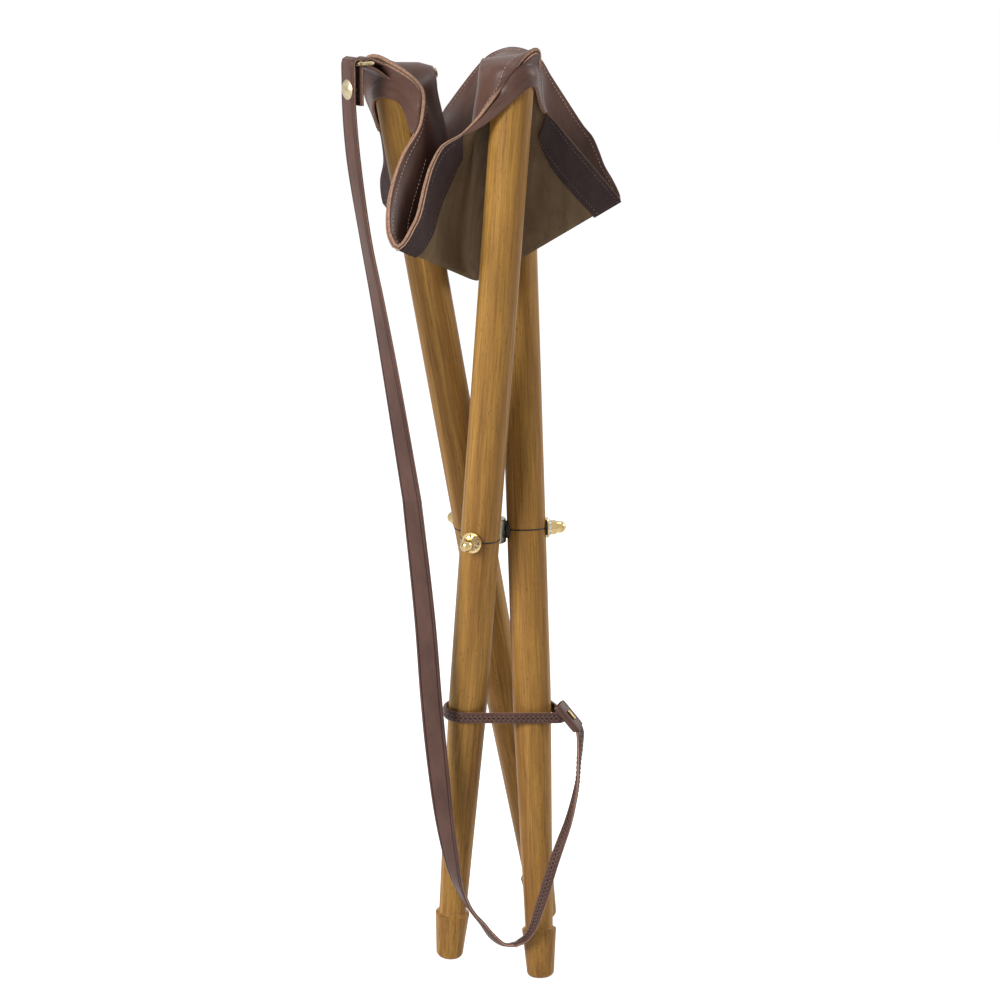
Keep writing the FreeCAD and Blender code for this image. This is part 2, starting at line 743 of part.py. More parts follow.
strap_top = ring_centre - bar_out * (bar_x + fold_r + strap_thick / 2) + UP * front_low
stations = [(strap_top, bar_along, strap_width)]
stations += [(Vec(*point), Vec(*aside), width) for point, aside, width in strap_route]
stations += [(Vec(*point), Vec(*aside), tail_width) for point, aside in tail_route]
for run in (keeper_length / 2 + cut_past, keeper_length / 2 - strap_in_keeper):
    stations.append((keeper_base + keeper_x * run, keeper_y * -1, tail_width))
sections = strap_sections(stations, UP * -1)
wires = [wire for wire, along in sections]
band = Part.makeLoft(wires[:middle_station + 1], True, True)
strap = turn_over.fuse(band)
wires[middle_station].translate(sections[middle_station][1] * soft_gap)
parts["strap_middle"] = Part.makeLoft(wires[middle_station:bend_station + 1], True, True)
low_band = Part.makeLoft(wires[bend_station:], True, True)
# The tail turns with leg b, so it is parted from the bend by a slot square to that leg's arm
far = 2 * leg_length
parting = FreeCAD.Placement(Vec(*strap_route[-1][0]), FreeCAD.Rotation(UP, legs["b"].arm))
for name, low in (("strap_bend", -far - soft_gap / 2), ("strap_tail", soft_gap / 2)):
    half_space = Part.makeBox(2 * far, 2 * far, far, Vec(-far, -far, low))
    half_space.Placement = parting
    parts[name] = low_band.common(half_space)
snap_level = -strap_turn_back / 2 - cap_dia / 4
post_r = cap_dia / 6
snap_hole = Part.makeCylinder(
    post_r + running_gap, 4 * outer_r, Vec(-bar_x - 2 * outer_r, 0, snap_level), Vec(1, 0, 0))
snap_hole.Placement = ring_place
parts["shoulder_strap"] = strap.cut(snap_hole)


# Snap fastener through both layers of the strap's folded end
def button(face_x, sign):
    cap_r = cap_dia / 2
    ball_r = (cap_r ** 2 + cap_rise ** 2) / (2 * cap_rise)
    ball = Part.makeSphere(ball_r, Vec(face_x - sign * (ball_r - cap_rise), 0, snap_level))
    slab = Part.makeBox(cap_rise, 2 * cap_dia, 2 * cap_dia, Vec(0, -cap_dia, -cap_dia + snap_level))
    slab.translate(Vec(face_x if sign > 0 else face_x - cap_rise, 0, 0))
    return ball.common(slab)


front_face = -bar_x - outer_r - sewn_gap
back_face = -bar_x + outer_r + sewn_gap
middle_x = -bar_x
cap = button(front_face, -1).fuse(Part.makeCylinder(
    post_r, middle_x - front_face, Vec(front_face, 0, snap_level), Vec(1, 0, 0)))
socket = button(back_face, 1).fuse(Part.makeCylinder(
    post_r, back_face - middle_x - sewn_gap, Vec(middle_x + sewn_gap, 0, snap_level), Vec(1, 0, 0)))
cap.Placement = ring_place
socket.Placement = ring_place
parts["snap_cap"] = cap
parts["snap_socket"] = socket

# Tie round the three legs, drawn out at the keeper
def hoop(centres, radii, low, height):
    count = len(centres)
    tangents = []
    for i in range(count):
        j = (i + 1) % count
        run = centres[j] - centres[i]
        lean_in = (radii[i] - radii[j]) / run.Length
        right = unit(run).cross(UP)
        normal = right * math.sqrt(1 - lean_in ** 2) + unit(run) * lean_in
        tangents.append((centres[i] + normal * radii[i], centres[j] + normal * radii[j], normal))
    edges = []
    for i in range(count):
        start, end, normal = tangents[i]
        following = tangents[(i + 1) % count]
        j = (i + 1) % count
        middle = centres[j] + unit(normal + following[2]) * radii[j]
        edges += [line(start, end), arc(end, middle, following[0])]
    face = Part.Face(Part.Wire(edges))
    face.translate(UP * (low - centres[0].z))
    return face.extrude(UP * height)


tie_room = tie_height / 2 * math.tan(math.radians(max(lean.values()))) + soft_gap
centres = [legs["a"].at(tie_level), tie_nose, legs["c"].at(tie_level)]
inner_radii = [leg_r + tie_room, tie_nose_r, leg_r + tie_room]
outer_radii = [r + tie_thick for r in inner_radii]
tie_low = tie_level - tie_height / 2
tie = hoop(centres, outer_radii, tie_low, tie_height)
parts["tie_loop"] = tie.cut(hoop(centres, inner_radii, tie_low, tie_height))


# Keeper: a sleeve over the tail's end, beside the tie's nose, with a brass staple in its face
def block(length, width, height):
    return Part.makeBox(length, width, height, Vec(-length / 2, -width / 2, -height / 2))


bore_width = tail_width + 2 * soft_gap
bore_height = strap_thick + 2 * soft_gap
keeper_height = bore_height + 2 * keeper_wall
keeper = block(keeper_length, bore_width + 2 * keeper_wall, keeper_height)
keeper = keeper.cut(block(2 * keeper_length, bore_width, bore_height))
staple_r = staple_wire / 2
staple_foot = bore_height / 2 + sewn_gap
crown = keeper_height / 2 + staple_r + sewn_gap
staple = cylinder(staple_r, -staple_span / 2, staple_span / 2, "x")
staple.translate(UP * crown)
for x in (-staple_span / 2, staple_span / 2):
    prong = Part.makeCylinder(staple_r, crown - staple_foot, Vec(x, 0, staple_foot))
    staple = staple.fuse(prong).fuse(Part.makeSphere(staple_r, Vec(x, 0, crown)))
    keeper = keeper.cut(Part.makeCylinder(staple_r + running_gap, crown, Vec(x, 0, 0)))
keeper.Placement = keeper_place
staple.Placement = keeper_place
parts["keeper"] = keeper
parts["keeper_staple"] = staple

os.makedirs("parts", exist_ok=True)
stand = FreeCAD.Placement(Vec(0, 0, -floor_level), FreeCAD.Rotation())
whole = FreeCAD.BoundBox()
for solid in parts.values():
    solid.Placement = stand.multiply(solid.Placement)
    whole.add(solid.BoundBox)
centre_it = FreeCAD.Placement(Vec(-whole.Center.x, -whole.Center.y, 0), FreeCAD.Rotation())
for name, solid in parts.items():
    solid.Placement = centre_it.multiply(solid.Placement)
    solid.exportStep("parts/" + name + ".step")
    print(name, len(solid.Solids), round(solid.Volume, 1), solid.isValid())
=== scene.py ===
import json
import math
import bmesh
import bpy
import numpy as np
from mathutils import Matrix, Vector


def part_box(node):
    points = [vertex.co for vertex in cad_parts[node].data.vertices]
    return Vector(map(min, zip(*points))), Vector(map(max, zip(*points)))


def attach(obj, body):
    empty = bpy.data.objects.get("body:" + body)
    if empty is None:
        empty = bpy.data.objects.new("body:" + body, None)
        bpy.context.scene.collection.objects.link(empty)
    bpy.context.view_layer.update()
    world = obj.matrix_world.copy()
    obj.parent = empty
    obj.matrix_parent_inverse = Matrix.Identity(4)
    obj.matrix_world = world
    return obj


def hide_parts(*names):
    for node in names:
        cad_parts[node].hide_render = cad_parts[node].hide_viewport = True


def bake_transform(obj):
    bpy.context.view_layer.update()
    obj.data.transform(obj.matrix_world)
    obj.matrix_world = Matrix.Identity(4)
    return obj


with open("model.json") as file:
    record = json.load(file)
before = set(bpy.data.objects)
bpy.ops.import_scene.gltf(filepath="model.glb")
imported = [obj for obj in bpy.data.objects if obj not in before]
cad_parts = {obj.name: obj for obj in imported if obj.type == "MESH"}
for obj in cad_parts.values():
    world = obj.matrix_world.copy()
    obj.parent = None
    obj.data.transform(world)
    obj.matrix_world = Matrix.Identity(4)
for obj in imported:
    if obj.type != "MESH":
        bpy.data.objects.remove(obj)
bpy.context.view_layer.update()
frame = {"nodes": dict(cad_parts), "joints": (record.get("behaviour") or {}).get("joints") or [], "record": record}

# The camera stands a little above the stool's bolt and looks slightly down on it, at the
# distance and height from which the whole folded stool fits the square picture.
hinges = {joint["child"][-1]: joint for joint in frame["joints"]}
bolt_middle = sum((Vector(joint["pos_m"]) for joint in hinges.values()), Vector()) / 3
camera_place = Vector((0.005263, -1.781583, 0.494110))
camera_down = 0.2581
camera_data = bpy.data.cameras.new("camera")
camera_data.sensor_width = 36.0
camera_data.lens = 86.295
camera = bpy.data.objects.new("camera", camera_data)
bpy.context.scene.collection.objects.link(camera)
camera.location = bolt_middle + camera_place
camera.rotation_euler = (math.pi / 2 - camera_down, 0, 0)
bpy.context.scene.camera = camera
bpy.context.scene.view_settings.view_transform = "Standard"

# A plain white floor and a white studio. Softboxes stand at the left front and at the right, and
# a weaker one hangs overhead, as for a product on white.
floor_size = 80.0
floor_glow = 0.93
floor_seen = 0.40
studio_fill = 0.20
softboxes = [
    ("left_softbox", (-1.6, -1.7, 1.5), 1.1, 74),
    ("right_softbox", (1.9, 0.35, 1.2), 0.9, 24),
    ("top_softbox", (0.0, 0.4, 2.4), 1.2, 20),
]
floor_mesh = bpy.data.meshes.new("floor")
half = floor_size / 2
floor_mesh.from_pydata(
    [(-half, -half, 0), (half, -half, 0), (half, half, 0), (-half, half, 0)], [], [(0, 1, 2, 3)])
floor = bpy.data.objects.new("floor", floor_mesh)
bpy.context.scene.collection.objects.link(floor)


def white_background(tree, plain, white):
    """Mixes in plain white wherever the camera, a reflection or glass looks straight at it."""
    path = tree.nodes.new("ShaderNodeLightPath")
    seen = tree.nodes.new("ShaderNodeMath")
    seen.operation = "MAXIMUM"
    tree.links.new(path.outputs["Is Camera Ray"], seen.inputs[0])
    tree.links.new(path.outputs["Is Glossy Ray"], seen.inputs[1])
    seen_all = tree.nodes.new("ShaderNodeMath")
    seen_all.operation = "MAXIMUM"
    tree.links.new(seen.outputs[0], seen_all.inputs[0])
    tree.links.new(path.outputs["Is Transmission Ray"], seen_all.inputs[1])
    mix = tree.nodes.new("ShaderNodeMixShader")
    tree.links.new(plain, mix.inputs[1])
    tree.links.new(white, mix.inputs[2])
    return seen_all.outputs[0], mix


floor_finish = bpy.data.materials.new("studio_floor")
floor_finish.use_nodes = True
tree = floor_finish.node_tree
tree.nodes["Principled BSDF"].inputs["Base Color"].default_value = (0.86, 0.86, 0.86, 1)
tree.nodes["Principled BSDF"].inputs["Roughness"].default_value = 0.9
glow = tree.nodes.new("ShaderNodeEmission")
glow.inputs["Strength"].default_value = floor_glow
shaded = tree.nodes.new("ShaderNodeBsdfDiffuse")
shaded.inputs["Color"].default_value = (floor_seen, floor_seen, floor_seen, 1)
both = tree.nodes.new("ShaderNodeAddShader")
tree.links.new(glow.outputs[0], both.inputs[0])
tree.links.new(shaded.outputs[0], both.inputs[1])
seen, mix = white_background(tree, tree.nodes["Principled BSDF"].outputs[0], both.outputs[0])
tree.links.new(seen, mix.inputs[0])
tree.links.new(mix.outputs[0], tree.nodes["Material Output"].inputs["Surface"])
floor_mesh.materials.append(floor_finish)

studio = bpy.data.worlds.new("studio")
studio.use_nodes = True
bpy.context.scene.world = studio
tree = studio.node_tree
tree.nodes["Background"].inputs["Strength"].default_value = studio_fill
white = tree.nodes.new("ShaderNodeBackground")
tree.nodes["Background"].inputs["Color"].default_value = (1, 1, 1, 1)
white.inputs["Color"].default_value = (1, 1, 1, 1)
white.inputs["Strength"].default_value = 1.0
seen, mix = white_background(tree, tree.nodes["Background"].outputs[0], white.outputs[0])
tree.links.new(seen, mix.inputs[0])
tree.links.new(mix.outputs[0], tree.nodes["World Output"].inputs["Surface"])

for name, place, size, watts in softboxes:
    lamp = bpy.data.lights.new(name, "AREA")
    lamp.shape = "SQUARE"
    lamp.size = size
    lamp.energy = watts
    box = bpy.data.objects.new(name, lamp)
    box.location = place
    box.rotation_euler = (bolt_middle - box.location).to_track_quat("-Z", "Y").to_euler()
    bpy.context.scene.collection.objects.link(box)


# The three legs are turned hardwood dowels, oiled to a satin gold brown. Open pores show as short
# dark flecks along the grain, and darker streaks run the length of each leg.
class Finish:
    """A finish in the making: its shader, and the nodes that colour and roughen it."""

    def __init__(self, name, roughness, metallic=0.0, gloss=0.5, **more):
        self.material = bpy.data.materials.new(name)
        self.material.use_nodes = True
        self.tree = self.material.node_tree
        self.shader = self.tree.nodes["Principled BSDF"]
        for socket, value in {"Roughness": roughness, "Metallic": metallic, "Specular IOR Level": gloss,
                              **{key.replace("_", " "): value for key, value in more.items()}}.items():
            self.shader.inputs[socket].default_value = value
        self.last_bump = None

    def feed(self, socket, value):
        if isinstance(value, bpy.types.NodeSocket):
            self.tree.links.new(value, socket)
        elif socket.type == "RGBA":
            socket.default_value = (*value[:3], 1.0)
        else:
            socket.default_value = value

    def add(self, kind, inputs, output=0, **settings):
        node = self.tree.nodes.new("ShaderNode" + kind)
        for key, value in settings.items():
            setattr(node, key, value)
        for key, value in inputs.items():
            self.feed(node.inputs[key], value)
        return node.outputs[output]

    def place(self, attribute=None):
        if attribute:
            return self.add("Attribute", {}, "Vector", attribute_name=attribute)
        return self.add("TexCoord", {}, "Object")

    def stretch(self, vector, scale, turn=(0, 0, 0), shift=(0, 0, 0)):
        return self.add("Mapping", {"Vector": vector, "Scale": scale, "Rotation": turn, "Location": shift})

    def noise(self, vector, scale=1.0, detail=3.0, roughness=0.55, distortion=0.0):
        return self.add("TexNoise", {"Vector": vector, "Scale": scale, "Detail": detail,
                                     "Roughness": roughness, "Distortion": distortion}, "Fac")

    def cells(self, vector, scale, output="Distance", feature="F1", randomness=1.0):
        return self.add("TexVoronoi", {"Vector": vector, "Scale": scale, "Randomness": randomness},
                        output, feature=feature)

    def between(self, value, low, high, to_low=0.0, to_high=1.0):
        return self.add("MapRange", {0: value, 1: low, 2: high, 3: to_low, 4: to_high}, clamp=True)

    def calc(self, operation, first, second=0.0):
        return self.add("Math", {0: first, 1: second}, operation=operation)

    def axis(self, vector, index):
        return self.add("SeparateXYZ", {0: vector}, index)

    def mix(self, share, first, second, kind="MIX"):
        return self.add("MixRGB", {0: share, 1: first, 2: second}, blend_type=kind)

    def colour(self, value):
        self.feed(self.shader.inputs["Base Color"], value)

    def rough(self, value):
        self.feed(self.shader.inputs["Roughness"], value)

    def bump(self, height, distance, strength=1.0):
        inputs = {"Height": height, "Distance": distance, "Strength": strength}
        if self.last_bump:
            inputs["Normal"] = self.last_bump
        self.last_bump = self.add("Bump", inputs)
        self.feed(self.shader.inputs["Normal"], self.last_bump)


def dress(node, finish):
    mesh = frame["nodes"][node].data
    mesh.materials.clear()
    mesh.materials.append(finish.material)


leg_length = 0.700
wood_gold = (0.40, 0.215, 0.050)
wood_brown = (0.235, 0.112, 0.026)
wood_streak = (0.105, 0.046, 0.013)
wood_pore = (0.085, 0.038, 0.014)
feet = {m["name"][-1]: m for m in frame["record"]["mounts"] if m["name"].startswith("foot_")}
leg_axis = {k: -Vector(foot["axis"]) for k, foot in feet.items()}
leg_top = {k: Vector(foot["pos_m"]) + leg_axis[k] * leg_length for k, foot in feet.items()}
grain_offset = {"a": 0.0, "b": 3.7, "c": 8.2}
for k in "abc":
    wood = Finish("oiled_wood_" + k, 0.46, gloss=0.14)
    upright = leg_axis[k].rotation_difference(Vector((0, 0, 1)))
    along = wood.stretch(wood.place(), (1, 1, 1), tuple(upright.to_euler()),
                         (grain_offset[k], grain_offset[k], 0))
    broad = wood.noise(wood.stretch(along, (70, 70, 3.2)), 1.0, 3.0, 0.5, 0.6)
    fine = wood.noise(wood.stretch(along, (420, 420, 9)), 1.0, 4.0, 0.6, 0.3)
    hair = wood.noise(wood.stretch(along, (1500, 1500, 38)), 1.0, 2.0, 0.5)
    pores = wood.noise(wood.stretch(along, (2300, 2300, 230)), 1.0, 1.0, 0.4)
    blotch = wood.noise(wood.stretch(along, (26, 26, 12)), 1.0, 2.0, 0.5)
    base = wood.mix(wood.between(broad, 0.38, 0.62), wood_gold, wood_brown)
    base = wood.mix(wood.between(fine, 0.50, 0.72, 0.0, 0.70), base, wood_streak)
    base = wood.mix(wood.between(blotch, 0.42, 0.75, 0.0, 0.35), base, wood_brown)
    base = wood.mix(wood.between(hair, 0.42, 0.72, 0.0, 0.50), base, wood_streak)
    fleck = wood.between(pores, 0.66, 0.74)
    wood.colour(wood.mix(wood.calc("MULTIPLY", fleck, 0.75), base, wood_pore))
    wood.rough(wood.between(fine, 0.3, 0.8, 0.36, 0.52))
    wood.bump(wood.calc("SUBTRACT", wood.calc("MULTIPLY", fine, 0.35), fleck), 0.00012, 0.5)
    dress("leg_" + k, wood)

# A turn of thin black iron wire is sunk in a groove round each leg at the bolt, so that the
# wood can't split there. Its ends are drawn in under the washers.
black_wire = Finish("black_wire", 0.38, metallic=0.6, gloss=0.4)
rub = black_wire.noise(black_wire.place(), 900, 2.0)
black_wire.colour(black_wire.mix(black_wire.between(rub, 0.5, 0.7),
                                 (0.012, 0.011, 0.010), (0.05, 0.045, 0.04)))
black_wire.bump(rub, 0.00004, 0.4)
for k in "abc":
    dress("binding_wire_" + k, black_wire)

# The three-way bolt is a zinc-plated steel hub with three studs screwed into it. The plate has
# gone a dull greenish grey, with brighter rubbed spots.
zinc = Finish("dull_zinc", 0.42, metallic=1.0)
spot = zinc.noise(zinc.place(), 260, 4.0, 0.6)
scratch = zinc.noise(zinc.stretch(zinc.place(), (240, 240, 2600)), 1.0, 2.0)
plate = zinc.mix(zinc.between(spot, 0.35, 0.7), (0.30, 0.30, 0.24), (0.58, 0.57, 0.50))
zinc.colour(plate)
zinc.rough(zinc.between(spot, 0.3, 0.7, 0.34, 0.56))
zinc.bump(scratch, 0.00005, 0.5)
dress("hub", zinc)
for k in "abc":
    dress("stud_" + k, zinc)

# Black rubber washers sit on both sides of each leg. Outside them come a large brass washer, a
# toothed steel washer and a brass dome nut, all bright from the factory and a little tarnished.
rubber = Finish("black_rubber", 0.62, gloss=0.3)
dust = rubber.noise(rubber.place(), 700, 3.0)
rubber.colour(rubber.mix(rubber.between(dust, 0.5, 0.8), (0.012, 0.012, 0.012), (0.045, 0.042, 0.04)))
rubber.bump(dust, 0.00006, 0.5)
brass = Finish("polished_brass", 0.24, metallic=1.0)
tarnish = brass.noise(brass.place(), 210, 4.0, 0.6)
turning = brass.noise(brass.place(), 2400, 2.0)
brass.colour(brass.mix(brass.between(tarnish, 0.42, 0.72), (0.56, 0.42, 0.20), (0.34, 0.235, 0.10)))
brass.rough(brass.between(tarnish, 0.35, 0.75, 0.17, 0.36))
brass.bump(turning, 0.00003, 0.4)
steel = Finish("toothed_steel", 0.3, metallic=1.0)
bright = steel.noise(steel.place(), 600, 3.0)
steel.colour(steel.mix(bright, (0.42, 0.41, 0.38), (0.66, 0.64, 0.58)))
steel.bump(bright, 0.00004, 0.5)
for k in "abc":
    dress("inner_washer_" + k, rubber)
    dress("outer_washer_" + k, rubber)
    dress("brass_washer_" + k, brass)
    dress("lock_washer_" + k, steel)
    dress("cap_nut_" + k, brass)

# The seat is one triangle of 3 mm saddle leather, smooth above and suede below. Folded, its
# middle sinks between the legs and each side folds outwards, so the whole is a three-lobed cone.
# Its edge is given from fold to corner to fold, in millimetres from the bolt's middle.
seat_leather = 3.0
seat_low = np.array((-11.3, 4.0, 195.0))
apex_round = 0.045
rows = 44
columns = 56
edge_runs = [
    ("ca", "a", [(-66.8, -92.0, 234.0), (-62.2, -88.0, 238.1), (-58.1, -82.0, 245.0), (-53.5, -74.0, 254.1),
                 (-48.6, -63.0, 273.9), (-44.3, -56.0, 286.9), (-37.2, -49.0, 299.2), (-28.3, -44.0, 304.6),
                 (-22.2, -42.0, 308.0), (-10.9, -42.0, 319.4), (-1.9, -44.0, 331.1), (6.3, -46.0, 341.9),
                 (15.3, -45.0, 353.8), (23.2, -41.0, 363.4), (30.2, -36.0, 367.6)]),
    ("a", "ab", [(33.9, -31.0, 365.5), (34.2, -25.0, 357.9), (34.0, -18.0, 347.3), (33.9, -10.0, 336.6),
                 (34.9, -3.0, 326.5), (39.2, 1.5, 318.8), (46.2, 5.5, 311.6), (58.8, 11.0, 296.4),
                 (74.2, 19.0, 277.6), (87.5, 26.5, 261.5)]),
    ("ab", "b", [(95.7, 31.0, 251.6), (94.7, 34.5, 256.1), (90.2, 38.0, 264.8), (84.1, 41.0, 275.0),
                 (79.6, 44.0, 286.7), (75.1, 48.0, 296.1), (67.6, 53.0, 304.6), (54.7, 60.0, 323.6),
                 (43.3, 66.0, 340.4), (35.8, 71.0, 352.0), (25.9, 77.0, 357.9)]),
    ("b", "bc", [(15.2, 81.0, 359.9), (5.3, 82.0, 357.9), (-3.9, 80.0, 353.6), (-13.1, 76.0, 344.8),
                 (-21.7, 72.0, 334.6), (-31.4, 68.0, 322.1), (-38.8, 66.0, 311.2), (-40.3, 66.0, 299.5),
                 (-40.1, 66.0, 290.3), (-47.1, 70.0, 272.3), (-60.7, 78.0, 252.0), (-74.3, 85.0, 240.1)]),
    ("bc", "c", [(-82.2, 88.0, 239.7), (-84.9, 86.0, 246.2), (-85.4, 79.0, 261.1), (-82.0, 68.0, 276.3),
                 (-82.3, 52.0, 291.9), (-83.7, 38.0, 303.9), (-88.6, 20.0, 320.6), (-93.5, 4.0, 335.3),
                 (-95.0, -8.0, 347.0), (-94.0, -18.0, 355.7)]),
    ("c", "ca", [(-90.2, -26.0, 361.5), (-83.1, -31.0, 362.4), (-73.4, -35.0, 358.2), (-61.8, -40.0, 351.6),
                 (-53.5, -43.0, 344.5), (-49.6, -46.0, 336.9), (-50.0, -48.0, 325.7), (-52.1, -51.0, 314.7),
                 (-56.7, -55.0, 305.8), (-62.7, -60.0, 296.4), (-67.6, -66.0, 285.0), (-71.7, -74.0, 271.0),
                 (-73.6, -82.0, 257.2), (-73.2, -88.0, 245.2), (-70.6, -91.0, 237.8)]),
]
top = {k: np.array(leg_top[k] - bolt_middle) * 1000 for k in "abc"}
up_leg = {k: np.array(leg_axis[k]) for k in "abc"}
middle_top = sum(top.values()) / 3
outward = {}
for k in "abc":
    away = top[k] - middle_top
    away -= up_leg[k] * (away @ up_leg[k])
    outward[k] = away / np.linalg.norm(away)


def unit(v):
    return v / np.maximum(np.linalg.norm(v, axis=-1, keepdims=True), 1e-9)


def smooth_loop(points, steps):
    """Points on a smooth closed line through the given ones, with steps from each to the next."""
    p = np.array(points)
    found = []
    for i in range(len(p)):
        a, b, c, d = p[i - 1], p[i], p[(i + 1) % len(p)], p[(i + 2) % len(p)]
        for t in np.arange(steps) / steps:
            found.append(0.5 * (2 * b + (c - a) * t + (2 * a - 5 * b + 4 * c - d) * t ** 2
                                + (3 * b - a - 3 * c + d) * t ** 3))
    return np.array(found)


def even(points, count):
    """The same line with evenly spaced points."""
    lengths = np.concatenate([[0], np.cumsum(np.linalg.norm(np.diff(points, axis=0), axis=1))])
    at = np.linspace(0, lengths[-1], count)
    return np.stack([np.interp(at, lengths, points[:, i]) for i in range(3)], axis=1), lengths[-1]


edge_steps = 12
loop = smooth_loop([p for first, last, run in edge_runs for p in run], edge_steps)
edge = []
run_length = {}
start = 0
for first, last, run in edge_runs:
    stop = start + edge_steps * len(run)
    stretch = np.concatenate([loop[start:stop], loop[stop % len(loop)][None]])
    points, run_length[first, last] = even(stretch, columns + 1)
    edge.append(points[:-1])
    start = stop
edge = np.concatenate(edge)
count = len(edge)
first_column = {f + l: i * columns for i, (f, l, run) in enumerate(edge_runs)}
level = np.linspace(0, 1, rows + 1)[:, None]
rounded = (np.sqrt(level ** 2 + apex_round ** 2) - apex_round) / (math.sqrt(1 + apex_round ** 2) - apex_round)
spread = edge - seat_low
cone = np.empty((rows + 1, count, 3))
cone[..., :2] = seat_low[:2] + level[..., None] * spread[None, :, :2]
cone[..., 2] = seat_low[2] + rounded * spread[None, :, 2]


def clear_of_leg(points, k, radius, above, corner=7.0, aside=0.0):
    """Moves points that are too near to a leg's top end, or to a like form aside, straight out.
    Above is the form's height over the leg's end, and corner is how round its end is."""
    away = points - top[k] - aside
    height = away @ up_leg[k]
    side = away - height[..., None] * up_leg[k]
    reach = np.linalg.norm(side, axis=-1)
    past_side = reach - (radius - corner)
    past_end = height - (above - corner)
    round_off = np.hypot(np.maximum(past_side, 0), np.maximum(past_end, 0))
    depth = np.where(past_end > 0, round_off, past_side) - corner
    depth = np.where(past_side < 0, np.maximum(past_end, past_side) - corner, depth)
    by_side = unit(side) * np.maximum(past_side, 1e-6)[..., None]
    by_end = up_leg[k] * np.maximum(past_end, 0)[..., None]
    push = unit(by_side + by_end) * np.maximum(-depth, 0)[..., None]
    return points + push


seat_clear = 20.1
seat_above_leg = 6.5
lobe_depth = 42.0
relax_steps = 1100
relax_share = 0.8
smooth_steps = 8
lobe_share = 0.45
ridge_shift = 12.0
ridge_round = 19.9
ridge_top = 10.0
ridge_corner = 5.0
stud_above_leg = 3.0
stud_draw = 15.0
stud_reach = {"a": 32.8, "b": 32.8, "c": 31.7}
seat = cone.copy()
tip_at = {"a": 1, "b": 3, "c": 5}
for k, turn in tip_at.items():
    middle = turn * columns
    picked = np.arange(middle - columns, middle + columns + 1) % count
    part = cone[:, picked].copy()
    v = np.linspace(-1, 1, 2 * columns + 1)
    hump = np.sin(math.pi * level ** 3) ** 0.7 * np.cos(v * math.pi / 2) ** 1.5
    part -= (hump * lobe_depth)[..., None] * outward[k]
    for attempt in range(relax_steps):
        inner = part[1:-1, 1:-1]
        around = (part[:-2, 1:-1] + part[2:, 1:-1] + part[1:-1, :-2] + part[1:-1, 2:]) / 4
        moved = clear_of_leg(inner + relax_share * (around - inner), k, seat_clear, seat_above_leg)
        part[1:-1, 1:-1] = clear_of_leg(moved, k, ridge_round, ridge_top, ridge_corner,
                                        -ridge_shift * outward[k])
    for attempt in range(smooth_steps):
        around = (part[:-2, 1:-1] + part[2:, 1:-1] + part[1:-1, :-2] + part[1:-1, 2:]) / 4
        part[1:-1, 1:-1] = clear_of_leg(around, k, seat_clear, seat_above_leg)
    # The corner's stud draws the leather up to its head, on the side that faces the middle
    below_head = part - (top[k] + stud_above_leg * up_leg[k] - stud_reach[k] * outward[k])
    off_line = np.linalg.norm(below_head - (below_head @ outward[k])[..., None] * outward[k], axis=-1)
    drawn = np.exp(-(off_line / stud_draw) ** 2) * np.clip(-(part - top[k]) @ outward[k] / 10, 0, 1)
    part[1:-1, 1:-1] -= ((below_head @ outward[k]) * drawn)[1:-1, 1:-1, None] * outward[k]
    keep = np.clip((1 - np.abs(v)) / lobe_share, 0, 1)
    keep = (keep * keep * (3 - 2 * keep))[None, :, None]
    seat[:, picked] = np.where(keep > 0, cone[:, picked] * (1 - keep) + part * keep, seat[:, picked])


def surface_normals(grid, closed):
    across = np.roll(grid, -1, 1) - np.roll(grid, 1, 1) if closed else np.gradient(grid, axis=1)
    return unit(np.cross(across, np.gradient(grid, axis=0)))


seat_normal = surface_normals(seat, True)
if seat_normal[..., 2].sum() < 0:
    seat_normal = -seat_normal
seat_normal[0] = (0, 0, 1)


def make_piece(name, points, faces, finishes, which=None, grain=None):
    """A mesh object from points in millimetres from the bolt's middle, with finishes by face."""
    mesh = bpy.data.meshes.new(name)
    placed = np.asarray(points, float) / 1000 + np.array(bolt_middle)
    mesh.from_pydata([tuple(p) for p in placed], [], faces)
    for finish in finishes:
        mesh.materials.append(finish.material)
    if which is not None:
        mesh.polygons.foreach_set("material_index", np.asarray(which, np.int32))
    if grain is not None:
        grain_places = mesh.attributes.new("grain", "FLOAT_VECTOR", "POINT")
        grain_places.data.foreach_set("vector", np.asarray(grain, np.float32).ravel())
    work = bmesh.new()
    work.from_mesh(mesh)
    bmesh.ops.remove_doubles(work, verts=work.verts, dist=1e-6)
    bmesh.ops.dissolve_degenerate(work, dist=1e-7, edges=work.edges)
    bmesh.ops.recalc_face_normals(work, faces=work.faces)
    work.to_mesh(mesh)
    work.free()
    mesh.shade_smooth()
    mesh.set_sharp_from_angle(angle=math.radians(42))
    piece = bpy.data.objects.new(name, mesh)
    bpy.context.scene.collection.objects.link(piece)
    return piece


rim_bulge = 0.18


